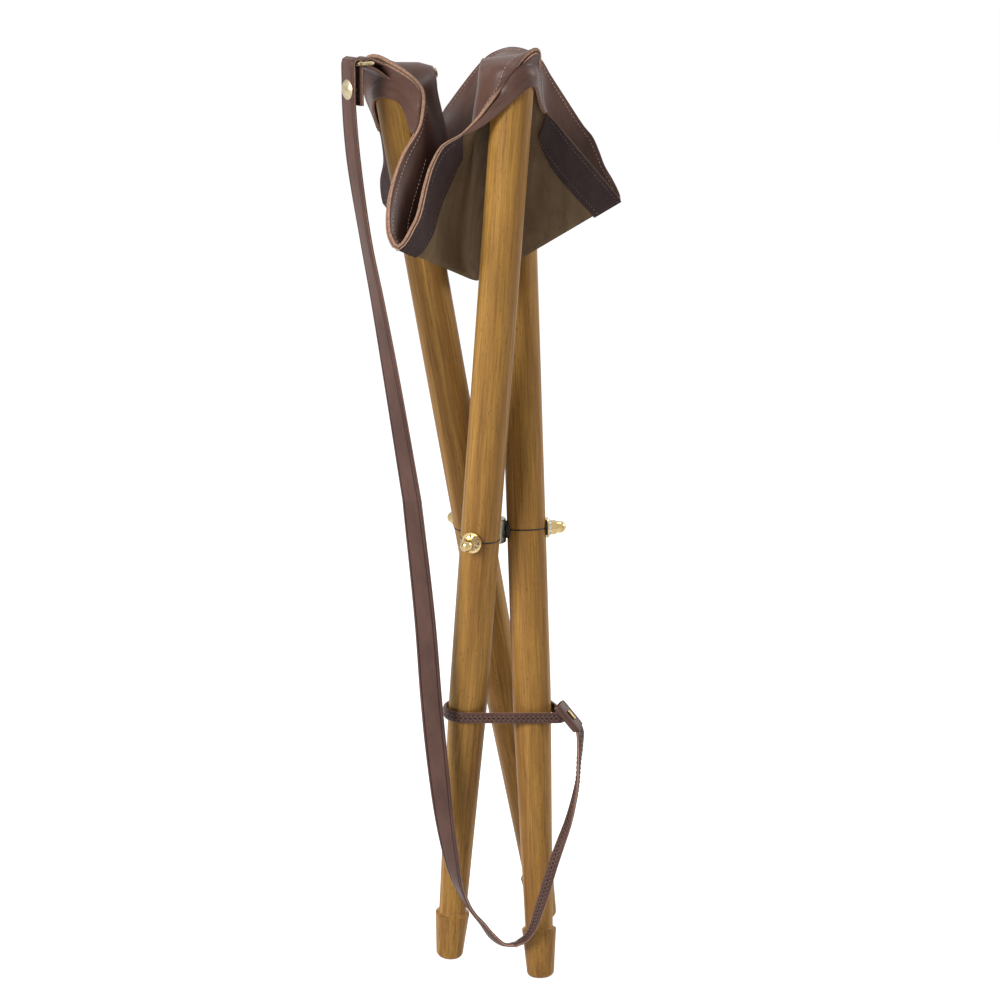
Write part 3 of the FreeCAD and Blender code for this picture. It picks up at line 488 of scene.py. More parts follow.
def leather_shell(name, middle, normal, low, high, finishes, along, depth, free=(1, 1, 1, 1)):
    """A cut piece of leather round a grid of middle points: upper side, under side and cut rim.
    Free says which of the first row, last row, first column and last column have a rounded rim."""
    n_rows, n_cols = middle.shape[:2]
    upper = middle + normal * high
    under = middle + normal * low
    index = np.arange(n_rows * n_cols).reshape(n_rows, n_cols)
    points = [upper.reshape(-1, 3), under.reshape(-1, 3)]
    grain = np.stack([np.broadcast_to(along, (n_rows, n_cols)), np.broadcast_to(depth, (n_rows, n_cols)),
                      np.zeros((n_rows, n_cols))], axis=-1).reshape(-1, 3) / 1000
    grains = [grain, grain]
    a, b, c, d = index[:-1, :-1], index[:-1, 1:], index[1:, 1:], index[1:, :-1]
    faces = np.stack([a, b, c, d], axis=-1).reshape(-1, 4).tolist()
    which = [0] * len(faces)
    shift = n_rows * n_cols
    under_faces = (np.stack([d, c, b, a], axis=-1).reshape(-1, 4) + shift).tolist()
    which += [1] * len(under_faces)
    faces += under_faces
    down = np.gradient(middle, axis=0)
    side = np.gradient(middle, axis=1)
    total = 2 * shift
    thick = abs(high - low)
    for is_free, rim, out in ((free[0], index[0], -unit(down[0])), (free[1], index[-1], unit(down[-1])),
                              (free[2], index[:, 0], -unit(side[:, 0])),
                              (free[3], index[:, -1], unit(side[:, -1]))):
        last = rim
        if is_free:
            for share, finish_no in ((0.84, 0), (0.16, 2)):
                height = low + (high - low) * share
                ring = middle.reshape(-1, 3)[rim] + normal.reshape(-1, 3)[rim] * height
                ring = ring + out * thick * rim_bulge
                points.append(ring)
                grains.append(grain[rim])
                new = np.arange(total, total + len(rim))
                total += len(rim)
                faces += np.stack([last[:-1], last[1:], new[1:], new[:-1]], axis=-1).tolist()
                which += [finish_no] * (len(rim) - 1)
                last = new
        faces += np.stack([last[:-1], last[1:], rim[1:] + shift, rim[:-1] + shift], axis=-1).tolist()
        which += [1 if is_free else 2] * (len(rim) - 1)
    return make_piece(name, np.concatenate(points), faces, finishes, which, np.concatenate(grains))


smooth_brown = Finish("smooth_brown_leather", 0.38, gloss=0.20)
place = smooth_brown.place("grain")
cloud = smooth_brown.noise(place, 34, 4.0, 0.6)
pull = smooth_brown.noise(smooth_brown.stretch(place, (60, 160, 1)), 1.0, 3.0, 0.6, 0.5)
hide = smooth_brown.cells(place, 1500)
brown = smooth_brown.mix(smooth_brown.between(cloud, 0.35, 0.7), (0.066, 0.031, 0.023), (0.105, 0.054, 0.040))
brown = smooth_brown.mix(smooth_brown.between(pull, 0.55, 0.8, 0, 0.5), brown, (0.036, 0.017, 0.013))
smooth_brown.colour(brown)
smooth_brown.rough(smooth_brown.between(cloud, 0.3, 0.7, 0.34, 0.48))
smooth_brown.bump(hide, 0.00005, 0.35)
smooth_brown.bump(pull, 0.0003, 0.35)

suede = Finish("suede_under_side", 0.95, gloss=0.06)
place = suede.place("grain")
cloud = suede.noise(place, 40, 5.0, 0.65)
nap = suede.noise(place, 1900, 3.0, 0.7)
bent = suede.mix(0.5, place, suede.add("TexNoise", {"Vector": place, "Scale": 55.0, "Detail": 3.0}, "Color"))
# The suede's creases are dark lines in the colour: painted shade of small folds, with a matching bump.
shaded_crease = suede.cells(suede.stretch(bent, (46, 80, 30)), 1.0, feature="DISTANCE_TO_EDGE")
shaded_crease = suede.between(shaded_crease, 0.0, 0.045, 1.0, 0.0)
patch = suede.between(suede.noise(place, 22, 2.0), 0.44, 0.60)
shaded_crease = suede.calc("MULTIPLY", shaded_crease, patch)
tan = suede.mix(suede.between(cloud, 0.3, 0.72), (0.115, 0.076, 0.044), (0.190, 0.130, 0.078))
tan = suede.mix(suede.between(nap, 0.4, 0.8, 0, 0.35), tan, (0.085, 0.055, 0.033))
suede.colour(suede.mix(suede.calc("MULTIPLY", shaded_crease, 0.8), tan, (0.045, 0.026, 0.016)))
suede.bump(nap, 0.00018, 0.5)
suede.bump(shaded_crease, 0.0004, 0.5)

cut_edge = Finish("cut_leather_edge", 0.8, gloss=0.2)
place = cut_edge.place()
fibre = cut_edge.noise(place, 700, 4.0, 0.7)
pale = cut_edge.mix(cut_edge.between(fibre, 0.3, 0.7), (0.16, 0.085, 0.055), (0.40, 0.235, 0.165))
cut_edge.colour(pale)
cut_edge.bump(fibre, 0.0003, 0.6)

edge_depth = np.linalg.norm(spread, axis=1)
sectors = {"a": ("ca", "ab"), "b": ("ab", "bc"), "c": ("bc", "ca")}
seat_pieces = {}
fold_point = {f: edge[first_column[f + l]] for f, l, run in edge_runs if len(f) == 2}
for k, (before, after) in sectors.items():
    square = np.cross(fold_point[before] - seat_low, fold_point[after] - seat_low)
    tip = edge[first_column[k + after]]
    square = unit(square) * np.sign(square @ (tip - seat_low))
    reach = (tip - seat_low) @ square


def follow(piece):
    """Bakes a piece's placement into its mesh."""
    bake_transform(piece)


for k, (before, after) in sectors.items():
    start = first_column[before + k]
    picked = np.arange(start, start + 2 * columns + 1) % count
    along = np.concatenate([[0], np.cumsum(np.linalg.norm(np.diff(edge[picked], axis=0), axis=1))])
    piece = leather_shell("seat_at_leg_" + k, seat[:, picked], seat_normal[:, picked], -seat_leather / 2,
                          seat_leather / 2, [smooth_brown, suede, cut_edge], (along - along.mean()) * level,
                          edge_depth[picked] * (1 - level), free=(0, 1, 0, 0))
    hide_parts("seat_panel")
    seat_pieces[k] = piece

# Dark strips of ribbed leather are sewn along the under side of the seat's three edges, where
# the folds wear. Each runs from a pocket down to the fold and up to the next pocket.
strip_thick = 1.6
strip_gap = 0.1
strip_width = 24.0
strip_end_width = 19.0
strip_taper = 34.0
strip_inset = 0.4
seam_length = {"caa": 88.0, "aab": 56.0, "abb": 84.0, "bbc": 84.0, "bcc": 88.0, "cca": 85.0}
ribbed = Finish("dark_ribbed_leather", 0.55, gloss=0.14)
place = ribbed.place("grain")
ribs = ribbed.add("TexWave", {"Vector": place, "Scale": 260.0, "Distortion": 1.4, "Detail": 2.0,
                              "Detail Scale": 1.5}, "Fac", bands_direction="X")
weave = ribbed.noise(ribbed.stretch(place, (900, 2200, 1)), 1.0, 3.0, 0.6)
tone = ribbed.noise(place, 60, 4.0, 0.6)
dark = ribbed.mix(ribbed.between(tone, 0.35, 0.7), (0.026, 0.013, 0.013), (0.046, 0.026, 0.025))
ribbed.colour(ribbed.mix(ribbed.between(ribs, 0.4, 1.0, 0, 0.75), dark, (0.010, 0.006, 0.006)))
ribbed.rough(ribbed.between(weave, 0.3, 0.7, 0.42, 0.66))
ribbed.bump(ribs, 0.00025, 0.5)
ribbed.bump(weave, 0.0001, 0.5)


def on_seat(column, depth):
    """Point and normal on the seat's middle, at an edge column and a distance from the edge."""
    u = np.clip(1 - depth / edge_depth[column], 0, 1) * rows
    low_row = np.minimum(u.astype(int), rows - 1)
    share = (u - low_row)[..., None]
    point = seat[low_row, column] * (1 - share) + seat[low_row + 1, column] * share
    normal = unit(seat_normal[low_row, column] * (1 - share) + seat_normal[low_row + 1, column] * share)
    return point, normal


def seam_columns(first, last):
    """Columns of one half edge from its fold to the pocket's seam end."""
    start = first_column[first + last]
    spacing = run_length[first, last] / columns
    seam = int(round(seam_length[first + last] / spacing))
    if len(first) == 2:
        return (start + np.arange(0, columns - seam + 1)) % count
    return (start + np.arange(seam, columns + 1))[::-1] % count


strip_face = -(seat_leather / 2 + strip_gap)
strips = {}
half_edges = [(f + l if len(f) == 2 else l + f, f, l) for f, l, run in edge_runs]
for key, first, last in half_edges:
    k = key[-1]
    fold = key[:2]
    picked = seam_columns(first, last)
    along = np.concatenate([[0], np.cumsum(np.linalg.norm(np.diff(edge[picked], axis=0), axis=1))])
    narrow = np.clip((along - along[-1] + strip_taper) / strip_taper, 0, 1)
    width = strip_width + (strip_end_width - strip_width) * narrow ** 2
    shares = np.linspace(0, 1, 13)[:, None]
    depth = strip_inset + shares * (width - strip_inset)
    point, normal = on_seat(np.broadcast_to(picked, depth.shape), depth)
    strip = leather_shell("ribbed_strip_%s_%s" % (fold, k), point, normal, strip_face - strip_thick,
                          strip_face, [ribbed, ribbed, cut_edge], along, depth, free=(1, 1, 0, 1))
    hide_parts("edge_strip_%s_%s" % (fold, k))
    if last == k:
        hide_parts("fold_strip_" + fold)
    strips.setdefault(k, []).append(strip)


# Seat, strips and pockets are sewn with waxed thread in short lockstitches, in two rows along
# the strips. The thread shows pale on the smooth side and dark on the strips.
def beads(name, places, forward, out, size, finish):
    """Small rounded lumps, such as stitches, laid at places along forward and standing out."""
    ring = 6
    angles = np.arange(ring) * 2 * math.pi / ring
    shape = [(-1.0, 0.0, 0.0)]
    for x, r in ((-0.72, 0.72), (0.0, 1.0), (0.72, 0.72)):
        shape += [(x, r * math.cos(a), r * math.sin(a)) for a in angles]
    shape.append((1.0, 0.0, 0.0))
    shape = np.array(shape) * size
    faces = [(0, 1 + (i + 1) % ring, 1 + i) for i in range(ring)]
    for j in (0, 1):
        low = 1 + j * ring
        faces += [(low + i, low + (i + 1) % ring, low + ring + (i + 1) % ring, low + ring + i)
                  for i in range(ring)]
    end = len(shape) - 1
    faces += [(end, end - ring + i, end - ring + (i + 1) % ring) for i in range(ring)]
    places = np.asarray(places).reshape(-1, 3)
    forward = unit(np.asarray(forward).reshape(-1, 3))
    out = np.asarray(out).reshape(-1, 3)
    out = unit(out - forward * (out * forward).sum(-1, keepdims=True))
    side = np.cross(out, forward)
    points = (places[:, None] + shape[None, :, 0, None] * forward[:, None]
              + shape[None, :, 1, None] * side[:, None] + shape[None, :, 2, None] * out[:, None])
    base = np.arange(len(places))[:, None, None] * len(shape)
    every = []
    for face in faces:
        every += (np.array(face)[None, :] + base[:, 0]).tolist()
    return make_piece(name, points.reshape(-1, 3), every, [finish])


def stitch_row(points, normals, pitch, height):
    """Evenly spaced stitches on a line: place, direction and outward side of each."""
    lengths = np.concatenate([[0], np.cumsum(np.linalg.norm(np.diff(points, axis=0), axis=1))])
    at = np.arange(pitch / 2, lengths[-1], pitch)
    place = np.stack([np.interp(at, lengths, points[:, i]) for i in range(3)], axis=1)
    ahead = np.stack([np.interp(at + 0.3, lengths, points[:, i]) for i in range(3)], axis=1)
    behind = np.stack([np.interp(at - 0.3, lengths, points[:, i]) for i in range(3)], axis=1)
    out = unit(np.stack([np.interp(at, lengths, normals[:, i]) for i in range(3)], axis=1))
    return place + out * height, unit(ahead - behind), out


def gather(rows_of):
    """Joins rows of stitches into one list each of places, directions and outward sides."""
    return [np.concatenate([row[i] for row in rows_of]) for i in range(3)]


stitch_pitch = 3.1
stitch_size = (1.05, 0.36, 0.3)
row_depths = (3.0, 20.5)
pale_thread = Finish("pale_thread", 0.7, gloss=0.2)
twist = pale_thread.between(pale_thread.noise(pale_thread.place(), 1400), 0.35, 0.65)
pale_thread.colour(pale_thread.mix(twist, (0.20, 0.12, 0.10), (0.48, 0.34, 0.29)))
dark_thread = Finish("dark_thread", 0.6, gloss=0.3)
twist = dark_thread.between(dark_thread.noise(dark_thread.place(), 1400), 0.35, 0.65)
dark_thread.colour(dark_thread.mix(twist, (0.012, 0.007, 0.007), (0.13, 0.085, 0.075)))
for k, (before, after) in sectors.items():
    above = []
    below = []
    for key, first, last in half_edges:
        if key[-1] != k:
            continue
        start = first_column[first + last]
        whole = (start + np.arange(0, columns + 1)) % count
        short = seam_columns(first, last)
        for depth in row_depths:
            picked = whole if depth == row_depths[0] else short
            point, normal = on_seat(picked, np.full(len(picked), depth))
            above.append(stitch_row(point, normal, stitch_pitch, seat_leather / 2 + 0.12))
        for depth in row_depths:
            point, normal = on_seat(short[:-2], np.full(len(short) - 2, depth))
            below.append(stitch_row(point, -normal, stitch_pitch, -strip_face + strip_thick + 0.1))
    for name, rows_of, finish in (("seat_stitches_", above, pale_thread),
                                  ("strip_stitches_", below, dark_thread)):
        piece = beads(name + k, *gather(rows_of), stitch_size, finish)
        strips[k].append(piece)
    for piece in [seat_pieces[k]] + strips[k]:
        follow(piece)

# Each corner has a pocket: a panel of the same leather, sewn to the seat along both edges of the
# corner, with its smooth side out. The leg's top end is pushed into it.
pocket_leather = 2.4
pocket_round = 16.7
pocket_top = 11.0
mouth = [(0.0, 1.0), (0.035, 0.995), (0.07, 0.96), (0.10, 0.88), (0.14, 0.77), (0.18, 0.68), (0.25, 0.58),
         (0.36, 0.49), (0.50, 0.45)]
mouth_rise = {"a": 1.0, "b": 1.0, "c": 0.80}
pocket_depth = 88.0
pocket_above_leg = 1.8
pocket_corner = 4.0
pocket_stitch_pitch = 2.6
pocket_stitch_size = (0.9, 0.3, 0.25)
pocket_seam_columns = 3
pocket_rows = 36
pocket_columns = 40


def taut_round(start, end, radius, steps):
    """Shares of a taut line from start to end past the outer side of a round bar, seen end on."""
    d0, d1 = np.linalg.norm(start), np.linalg.norm(end)
    a0, a1 = math.atan2(start[1], start[0]), math.atan2(end[1], end[0])
    sign = 1 if a1 > a0 else -1
    t0 = a0 + sign * math.acos(min(1.0, radius / max(d0, radius, 1e-6)))
    t1 = a1 - sign * math.acos(min(1.0, radius / max(d1, radius, 1e-6)))
    if radius < 0.5 or (t1 - t0) * sign <= 0:
        line = np.stack([start, end])
    else:
        bend = np.linspace(t0, t1, 24)
        line = np.concatenate([[start], radius * np.stack([np.cos(bend), np.sin(bend)], axis=1), [end]])
    lengths = np.concatenate([[0], np.cumsum(np.linalg.norm(np.diff(line, axis=0), axis=1))])
    at = np.linspace(0, lengths[-1], steps)
    return np.stack([np.interp(at, lengths, line[:, i]) for i in range(2)], axis=1)


seam_offset = -(seat_leather / 2 + strip_gap + pocket_leather / 2)
for k, (before, after) in sectors.items():
    tip_column = first_column[k + after]
    sides = []
    for step, run in ((-1, (before, k)), (1, (k, after))):
        spacing = run_length[run] / columns
        reach = int(round(seam_length[run[0] + run[1]] / spacing))
        picked = (tip_column + step * np.arange(0, reach + 1)) % count
        line = seat[-1, picked] + seat_normal[-1, picked] * seam_offset
        sides.append(even(line, pocket_rows + 1)[0])
    x_axis = outward[k]
    y_axis = np.cross(up_leg[k], x_axis)
    basis = np.stack([x_axis, y_axis, up_leg[k]])
    left, right = [(side - top[k]) @ basis.T for side in sides]
    table = np.empty((pocket_rows + 1, pocket_columns + 1, 3))
    t = np.linspace(0, 1, pocket_columns + 1)
    for i in range(pocket_rows + 1):
        height = left[i, 2] * (1 - t) + right[i, 2] * t
        mean = (left[i, 2] + right[i, 2]) / 2
        radius = pocket_round * math.sqrt(max(0.0, 1 - max(0.0, mean / pocket_top) ** 2))
        table[i, :, :2] = taut_round(left[i, :2], right[i, :2], radius, pocket_columns + 1)
        table[i, :, 2] = height
    panel = np.empty_like(table)
    lift = np.interp(0.5 - np.abs(t - 0.5), [m[0] for m in mouth], [m[1] for m in mouth])
    lift = 1 - (1 - lift) * mouth_rise[k]
    for attempt in range(2):
        lift[1:-1] = (lift[:-2] + 2 * lift[1:-1] + lift[2:]) / 4
    for j in range(pocket_columns + 1):
        at = np.linspace(0.012, 1, pocket_rows + 1) * lift[j] * pocket_rows
        low_row = np.minimum(at.astype(int), pocket_rows - 1)
        share = (at - low_row)[:, None]
        panel[:, j] = table[low_row, j] * (1 - share) + table[low_row + 1, j] * share
    for attempt in range(6):
        around = (panel[:-2, 1:-1] + panel[2:, 1:-1] + panel[1:-1, :-2] + panel[1:-1, 2:]) / 4
        panel[1:-1, 1:-1] += 0.5 * (around - panel[1:-1, 1:-1])
    panel = panel @ basis + top[k]
    panel = clear_of_leg(panel, k, pocket_round, pocket_above_leg, pocket_corner)
    normal = surface_normals(panel, False)
    normal *= np.sign((normal * outward[k]).sum())
    depth = np.linspace(0, pocket_depth, pocket_rows + 1)[:, None]
    along = (t - 0.5)[None, :] * depth
    pocket = leather_shell("pocket_panel_" + k, panel, normal, -pocket_leather / 2, pocket_leather / 2,
                           [smooth_brown, suede, cut_edge], along, depth)
    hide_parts("pocket_" + k)
    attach(pocket, "leg_" + k)
    rows_of = []
    for j in (pocket_seam_columns, pocket_columns - pocket_seam_columns):
        rows_of.append(stitch_row(panel[2:, j], normal[2:, j], pocket_stitch_pitch,
                                  pocket_leather / 2 + 0.08))
    thread = beads("pocket_stitches_" + k, *gather(rows_of), pocket_stitch_size, dark_thread)
    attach(thread, "leg_" + k)

# A domed brass stud is riveted through the seat and pocket at each corner, so that the corner
# can't tear open when the leg's end pushes into it.
for k in "abc":
    dress("corner_stud_" + k, brass)

# The carrying ring is a flat link of aged brass wire in a leather tab at corner c. The snap
# fastener that closes the strap over it has the same dull brown finish.
aged = Finish("aged_brass", 0.34, metallic=1.0)
wear = aged.noise(aged.place(), 330, 4.0, 0.65)
aged.colour(aged.mix(aged.between(wear, 0.35, 0.68), (0.17, 0.12, 0.062), (0.50, 0.40, 0.23)))
aged.rough(aged.between(wear, 0.3, 0.7, 0.28, 0.5))
aged.bump(wear, 0.00008, 0.4)
snap_brass = Finish("rubbed_snap_brass", 0.3, metallic=1.0)
wear = snap_brass.noise(snap_brass.place(), 300, 4.0, 0.65)
snap_brass.colour(snap_brass.mix(snap_brass.between(wear, 0.35, 0.7), (0.40, 0.33, 0.20), (0.60, 0.53, 0.37)))
snap_brass.rough(snap_brass.between(wear, 0.3, 0.7, 0.26, 0.42))
dress("carry_ring", aged)
dress("snap_cap", snap_brass)
dress("snap_socket", snap_brass)

# The shoulder strap is one long waxed leather strap with a pressed line near each edge. Its end
# is folded over the ring and snapped back to itself, and it hangs almost to the floor. Points,
# width directions and widths are in millimetres from the bolt's middle.
strap_thick = 2.8
strap_width = 17.0
ring_wire_r = 1.5
ring_half = 5.25
ring_gap = 0.3
ring_azimuth = math.radians(-56.0)
bar_along = np.array((math.cos(ring_azimuth), math.sin(ring_azimuth), 0.0))
bar_out = np.array((-math.sin(ring_azimuth), math.cos(ring_azimuth), 0.0))
ring_mount = [m for m in frame["record"]["mounts"] if m["name"] == "carrying_ring"][0]
ring_middle = (np.array(ring_mount["pos_m"]) - np.array(bolt_middle)) * 1000
strap_route = [
    ((-100.5, -45.0, 290.0), (0.57, -0.82, 0.0), 17.0), ((-92.4, -46.0, 231.5), (0.47, -0.88, 0.0), 17.0),
    ((-84.5, -47.0, 187.5), (0.56, -0.83, 0.0), 17.0), ((-74.6, -48.0, 127.5), (0.69, -0.72, 0.0), 17.0),
    ((-60.6, -48.0, 36.0), (0.83, -0.56, 0.0), 17.0), ((-51.6, -48.5, -57.5), (0.94, -0.34, 0.0), 17.0),
    ((-47.2, -50.0, -121.5), (0.98, -0.21, 0.0), 17.0), ((-43.2, -51.0, -167.0), (0.97, -0.24, 0.0), 17.0),
    ((-37.5, -52.0, -218.5), (0.88, -0.47, 0.0), 16.5), ((-32.0, -54.0, -250.9), (0.75, -0.66, 0.0), 15.5),
    ((-28.2, -55.0, -267.3), (0.60, -0.80, 0.0), 14.0), ((-21.2, -57.0, -284.9), (0.38, -0.92, 0.10), 12.0),
    ((-15.0, -58.0, -294.5), (0.24, -0.95, 0.20), 10.5), ((-8.1, -59.5, -302.5), (0.20, -0.88, 0.45), 9.5),
    ((-0.6, -61.0, -312.2), (0.15, -0.72, 0.68), 9.0), ((8.4, -64.0, -317.5), (0.10, -0.88, 0.46), 8.5),
    ((17.7, -66.5, -315.9), (0.15, -0.97, 0.18), 8.2),
]


def leather_ribbon(name, stations, spacing, thick, finishes, lines=True):
    """A strap through stations of point, width direction and width, with rounded cut edges and a
    pressed line beside each. Returns the piece, and its middle, width direction and outer side."""
    centre = np.array([s[0] for s in stations], float)
    aside = np.array([s[1] for s in stations], float)
    width = np.array([s[2] for s in stations], float)
    knots = np.concatenate([[0], np.cumsum(np.sqrt(np.linalg.norm(np.diff(centre, axis=0), axis=1)))])
    data = np.concatenate([centre, unit(aside), width[:, None]], axis=1)
    data = np.concatenate([2 * data[:1] - data[1:2], data, 2 * data[-1:] - data[-2:-1]])
    knots = np.concatenate([[2 * knots[0] - knots[1]], knots, [2 * knots[-1] - knots[-2]]])
    dense = []
    for i in range(1, len(data) - 2):
        k0, k1, k2, k3 = knots[i - 1:i + 3]
        m1 = ((data[i] - data[i - 1]) / (k1 - k0) - (data[i + 1] - data[i - 1]) / (k2 - k0)
              + (data[i + 1] - data[i]) / (k2 - k1)) * (k2 - k1)
        m2 = ((data[i + 1] - data[i]) / (k2 - k1) - (data[i + 2] - data[i]) / (k3 - k1)
              + (data[i + 2] - data[i + 1]) / (k3 - k2)) * (k2 - k1)
        for t in np.arange(16) / 16:
            dense.append((2 * t ** 3 - 3 * t ** 2 + 1) * data[i] + (t ** 3 - 2 * t ** 2 + t) * m1
                         + (3 * t ** 2 - 2 * t ** 3) * data[i + 1] + (t ** 3 - t ** 2) * m2)
    dense.append(data[-2])
    dense = np.array(dense)
    lengths = np.concatenate([[0], np.cumsum(np.linalg.norm(np.diff(dense[:, :3], axis=0), axis=1))])
    n = max(8, int(lengths[-1] / spacing))
    at = np.linspace(0, lengths[-1], n)
    line = np.stack([np.interp(at, lengths, dense[:, i]) for i in range(7)], axis=1)
    middle = line[:, :3]
    forward = unit(np.gradient(middle, axis=0))
    w = unit(line[:, 3:6] - forward * (line[:, 3:6] * forward).sum(-1, keepdims=True))
    out = np.cross(w, forward)
    half_width = line[:, 6] / 2
    half_thick = thick / 2
    rim = [(0.0, 0.35), (0.28, 0.80), (0.8, 1.0)]
    step = rim + ([(1.7, 1.0), (2.1, 0.72), (2.5, 1.0), (3.4, 1.04)] if lines else [])
    profile = [(-1, d, h) for d, h in step] + [(0, 0, 1.05)] + [(1, d, h) for d, h in reversed(step)]
    profile += [(1, d, -h) for d, h in rim] + [(0, 0, -1.0)] + [(-1, d, -h) for d, h in reversed(rim)]
    points = []
    grain = []
    for hand, d, h in profile:
        x = hand * (half_width - d)
        points.append(middle + w * x[:, None] + out * (half_thick * h))
        grain.append(np.stack([x, at, half_width - np.abs(x)], axis=1) / 1000)
    m = len(profile)
    points = np.array(points)
    faces = []
    which = []
    right = len(step) * 2
    cut_sides = {m - 1, right}
    for i in range(m):
        j = (i + 1) % m
        a = i * n + np.arange(n - 1)
        b = j * n + np.arange(n - 1)
        faces += np.stack([a, a + 1, b + 1, b], axis=-1).tolist()
        which += [1 if i in cut_sides else 0] * (n - 1)
    faces.append([i * n for i in range(m)])
    faces.append([i * n + n - 1 for i in reversed(range(m))])
    which += [1, 1]
    piece = make_piece(name, points.reshape(-1, 3), faces, finishes, which, np.array(grain).reshape(-1, 3))
    return piece, middle, w, out


strap_finish = Finish("waxed_strap_leather", 0.38, gloss=0.20)
place = strap_finish.place("grain")
cloud = strap_finish.noise(strap_finish.stretch(place, (40, 18, 1)), 1.0, 4.0, 0.6)
scuff = strap_finish.noise(strap_finish.stretch(place, (500, 60, 1)), 1.0, 3.0, 0.6)
pits = strap_finish.noise(place, 1700, 2.0)
tone = strap_finish.mix(strap_finish.between(cloud, 0.35, 0.68), (0.062, 0.029, 0.022), (0.100, 0.050, 0.038))
tone = strap_finish.mix(strap_finish.between(scuff, 0.55, 0.8, 0, 0.45), tone, (0.045, 0.019, 0.015))
from_edge = strap_finish.axis(place, 2)
pressed = strap_finish.calc("ABSOLUTE", strap_finish.calc("SUBTRACT", from_edge, 0.0021))
pressed = strap_finish.between(pressed, 0.00025, 0.0006, 0.75, 0.0)
strap_finish.colour(strap_finish.mix(pressed, tone, (0.022, 0.010, 0.009)))
strap_finish.rough(strap_finish.between(cloud, 0.3, 0.7, 0.30, 0.45))
strap_finish.bump(pits, 0.00008, 0.35)
strap_finish.bump(scuff, 0.00012, 0.4)

turn_r = ring_wire_r + ring_gap + strap_thick / 2
bar_middle = ring_middle - bar_out * ring_half
turn_over = []
for down in (-30.0, -20.0, -10.0):
    turn_over.append((bar_middle + bar_out * turn_r + (0, 0, down), bar_along, strap_width))
for degrees in range(0, 181, 30):
    a = math.radians(degrees)
    turn_over.append((bar_middle + bar_out * turn_r * math.cos(a) + np.array((0, 0, turn_r * math.sin(a))),
                      bar_along, strap_width))
for down in (-12.0, -30.0):
    turn_over.append((bar_middle - bar_out * turn_r + (0, 0, down), bar_along, strap_width))
strap_stations = [(p, -w, s) for p, w, s in turn_over]
strap_stations += [(p, tuple(-x for x in w), s) for p, w, s in strap_route]
split_station = 16
strap_spacing = 2.5
upper_strap = leather_ribbon("shoulder_strap_upper", strap_stations[:split_station + 1], strap_spacing,
                             strap_thick, [strap_finish, cut_edge])[0]
lower_strap = leather_ribbon("shoulder_strap_lower", strap_stations[split_station:], strap_spacing,
                             strap_thick, [strap_finish, cut_edge])[0]
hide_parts("shoulder_strap", "strap_middle")
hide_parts("strap_bend")


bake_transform(upper_strap)
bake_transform(lower_strap)

# The strap runs on as a narrow tail, laced along its middle through a row of punched holes. It
# rises in front of leg b and ends in a small leather keeper with a brass staple.
tail_width = 8.2
tail_route = [
    ((25.4, -69.5, -309.5), (0.30, -0.95, 0.0)), ((30.8, -73.0, -298.6), (0.50, -0.86, 0.0)),
    ((35.3, -77.0, -282.5), (0.72, -0.69, 0.0)), ((40.5, -80.0, -262.9), (0.86, -0.51, 0.0)),
    ((45.8, -81.0, -243.4), (0.86, -0.51, 0.0)), ((51.1, -80.0, -227.4), (0.72, -0.69, 0.0)),
    ((57.1, -76.5, -210.8), (0.50, -0.87, 0.0)), ((61.7, -71.0, -194.3), (0.22, -0.97, 0.0)),
    ((64.6, -64.0, -180.7), (0.0, -1.0, 0.0)), ((65.8, -56.5, -168.0), (-0.17, -0.98, 0.0)),
    ((66.8, -49.0, -157.5), (-0.34, -0.92, 0.0)),
]
keeper_along = unit(np.array((0.62, -0.05, -0.78)))
keeper_face = np.array((0.63, -0.56, 0.54))
keeper_face = unit(keeper_face - keeper_along * (keeper_face @ keeper_along))
keeper_side = np.cross(keeper_face, keeper_along)
keeper_low, keeper_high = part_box("keeper")
keeper_middle = np.array((keeper_low + keeper_high) / 2 - bolt_middle) * 1000
tail_stations = [(strap_route[-1][0], tuple(-x for x in strap_route[-1][1]), tail_width)]
tail_stations += [(p, tuple(-x for x in w), tail_width) for p, w in tail_route]
for reach in (13.0, -4.0):
    tail_stations.append((tuple(keeper_middle + keeper_along * reach), tuple(keeper_side), tail_width))
tail, tail_line, tail_w, tail_out = leather_ribbon(
    "laced_tail", tail_stations, 2.0, strap_thick, [strap_finish, cut_edge], lines=False)
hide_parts("strap_tail")
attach(tail, "leg_b")
# The punched holes are drawn as dark discs on the leather's faces: painted shade standing for the holes' insides.
hole_shade = Finish("painted_hole_shade", 0.9, gloss=0.1)
hole_shade.colour(hole_shade.mix(hole_shade.noise(hole_shade.place(), 900), (0.006, 0.004, 0.004),
                                 (0.02, 0.012, 0.010)))
lace = Finish("lacing", 0.5, gloss=0.35)
lace.colour(lace.mix(lace.noise(lace.place(), 1300), (0.055, 0.026, 0.020), (0.20, 0.11, 0.085)))
hole_pitch = 3.6


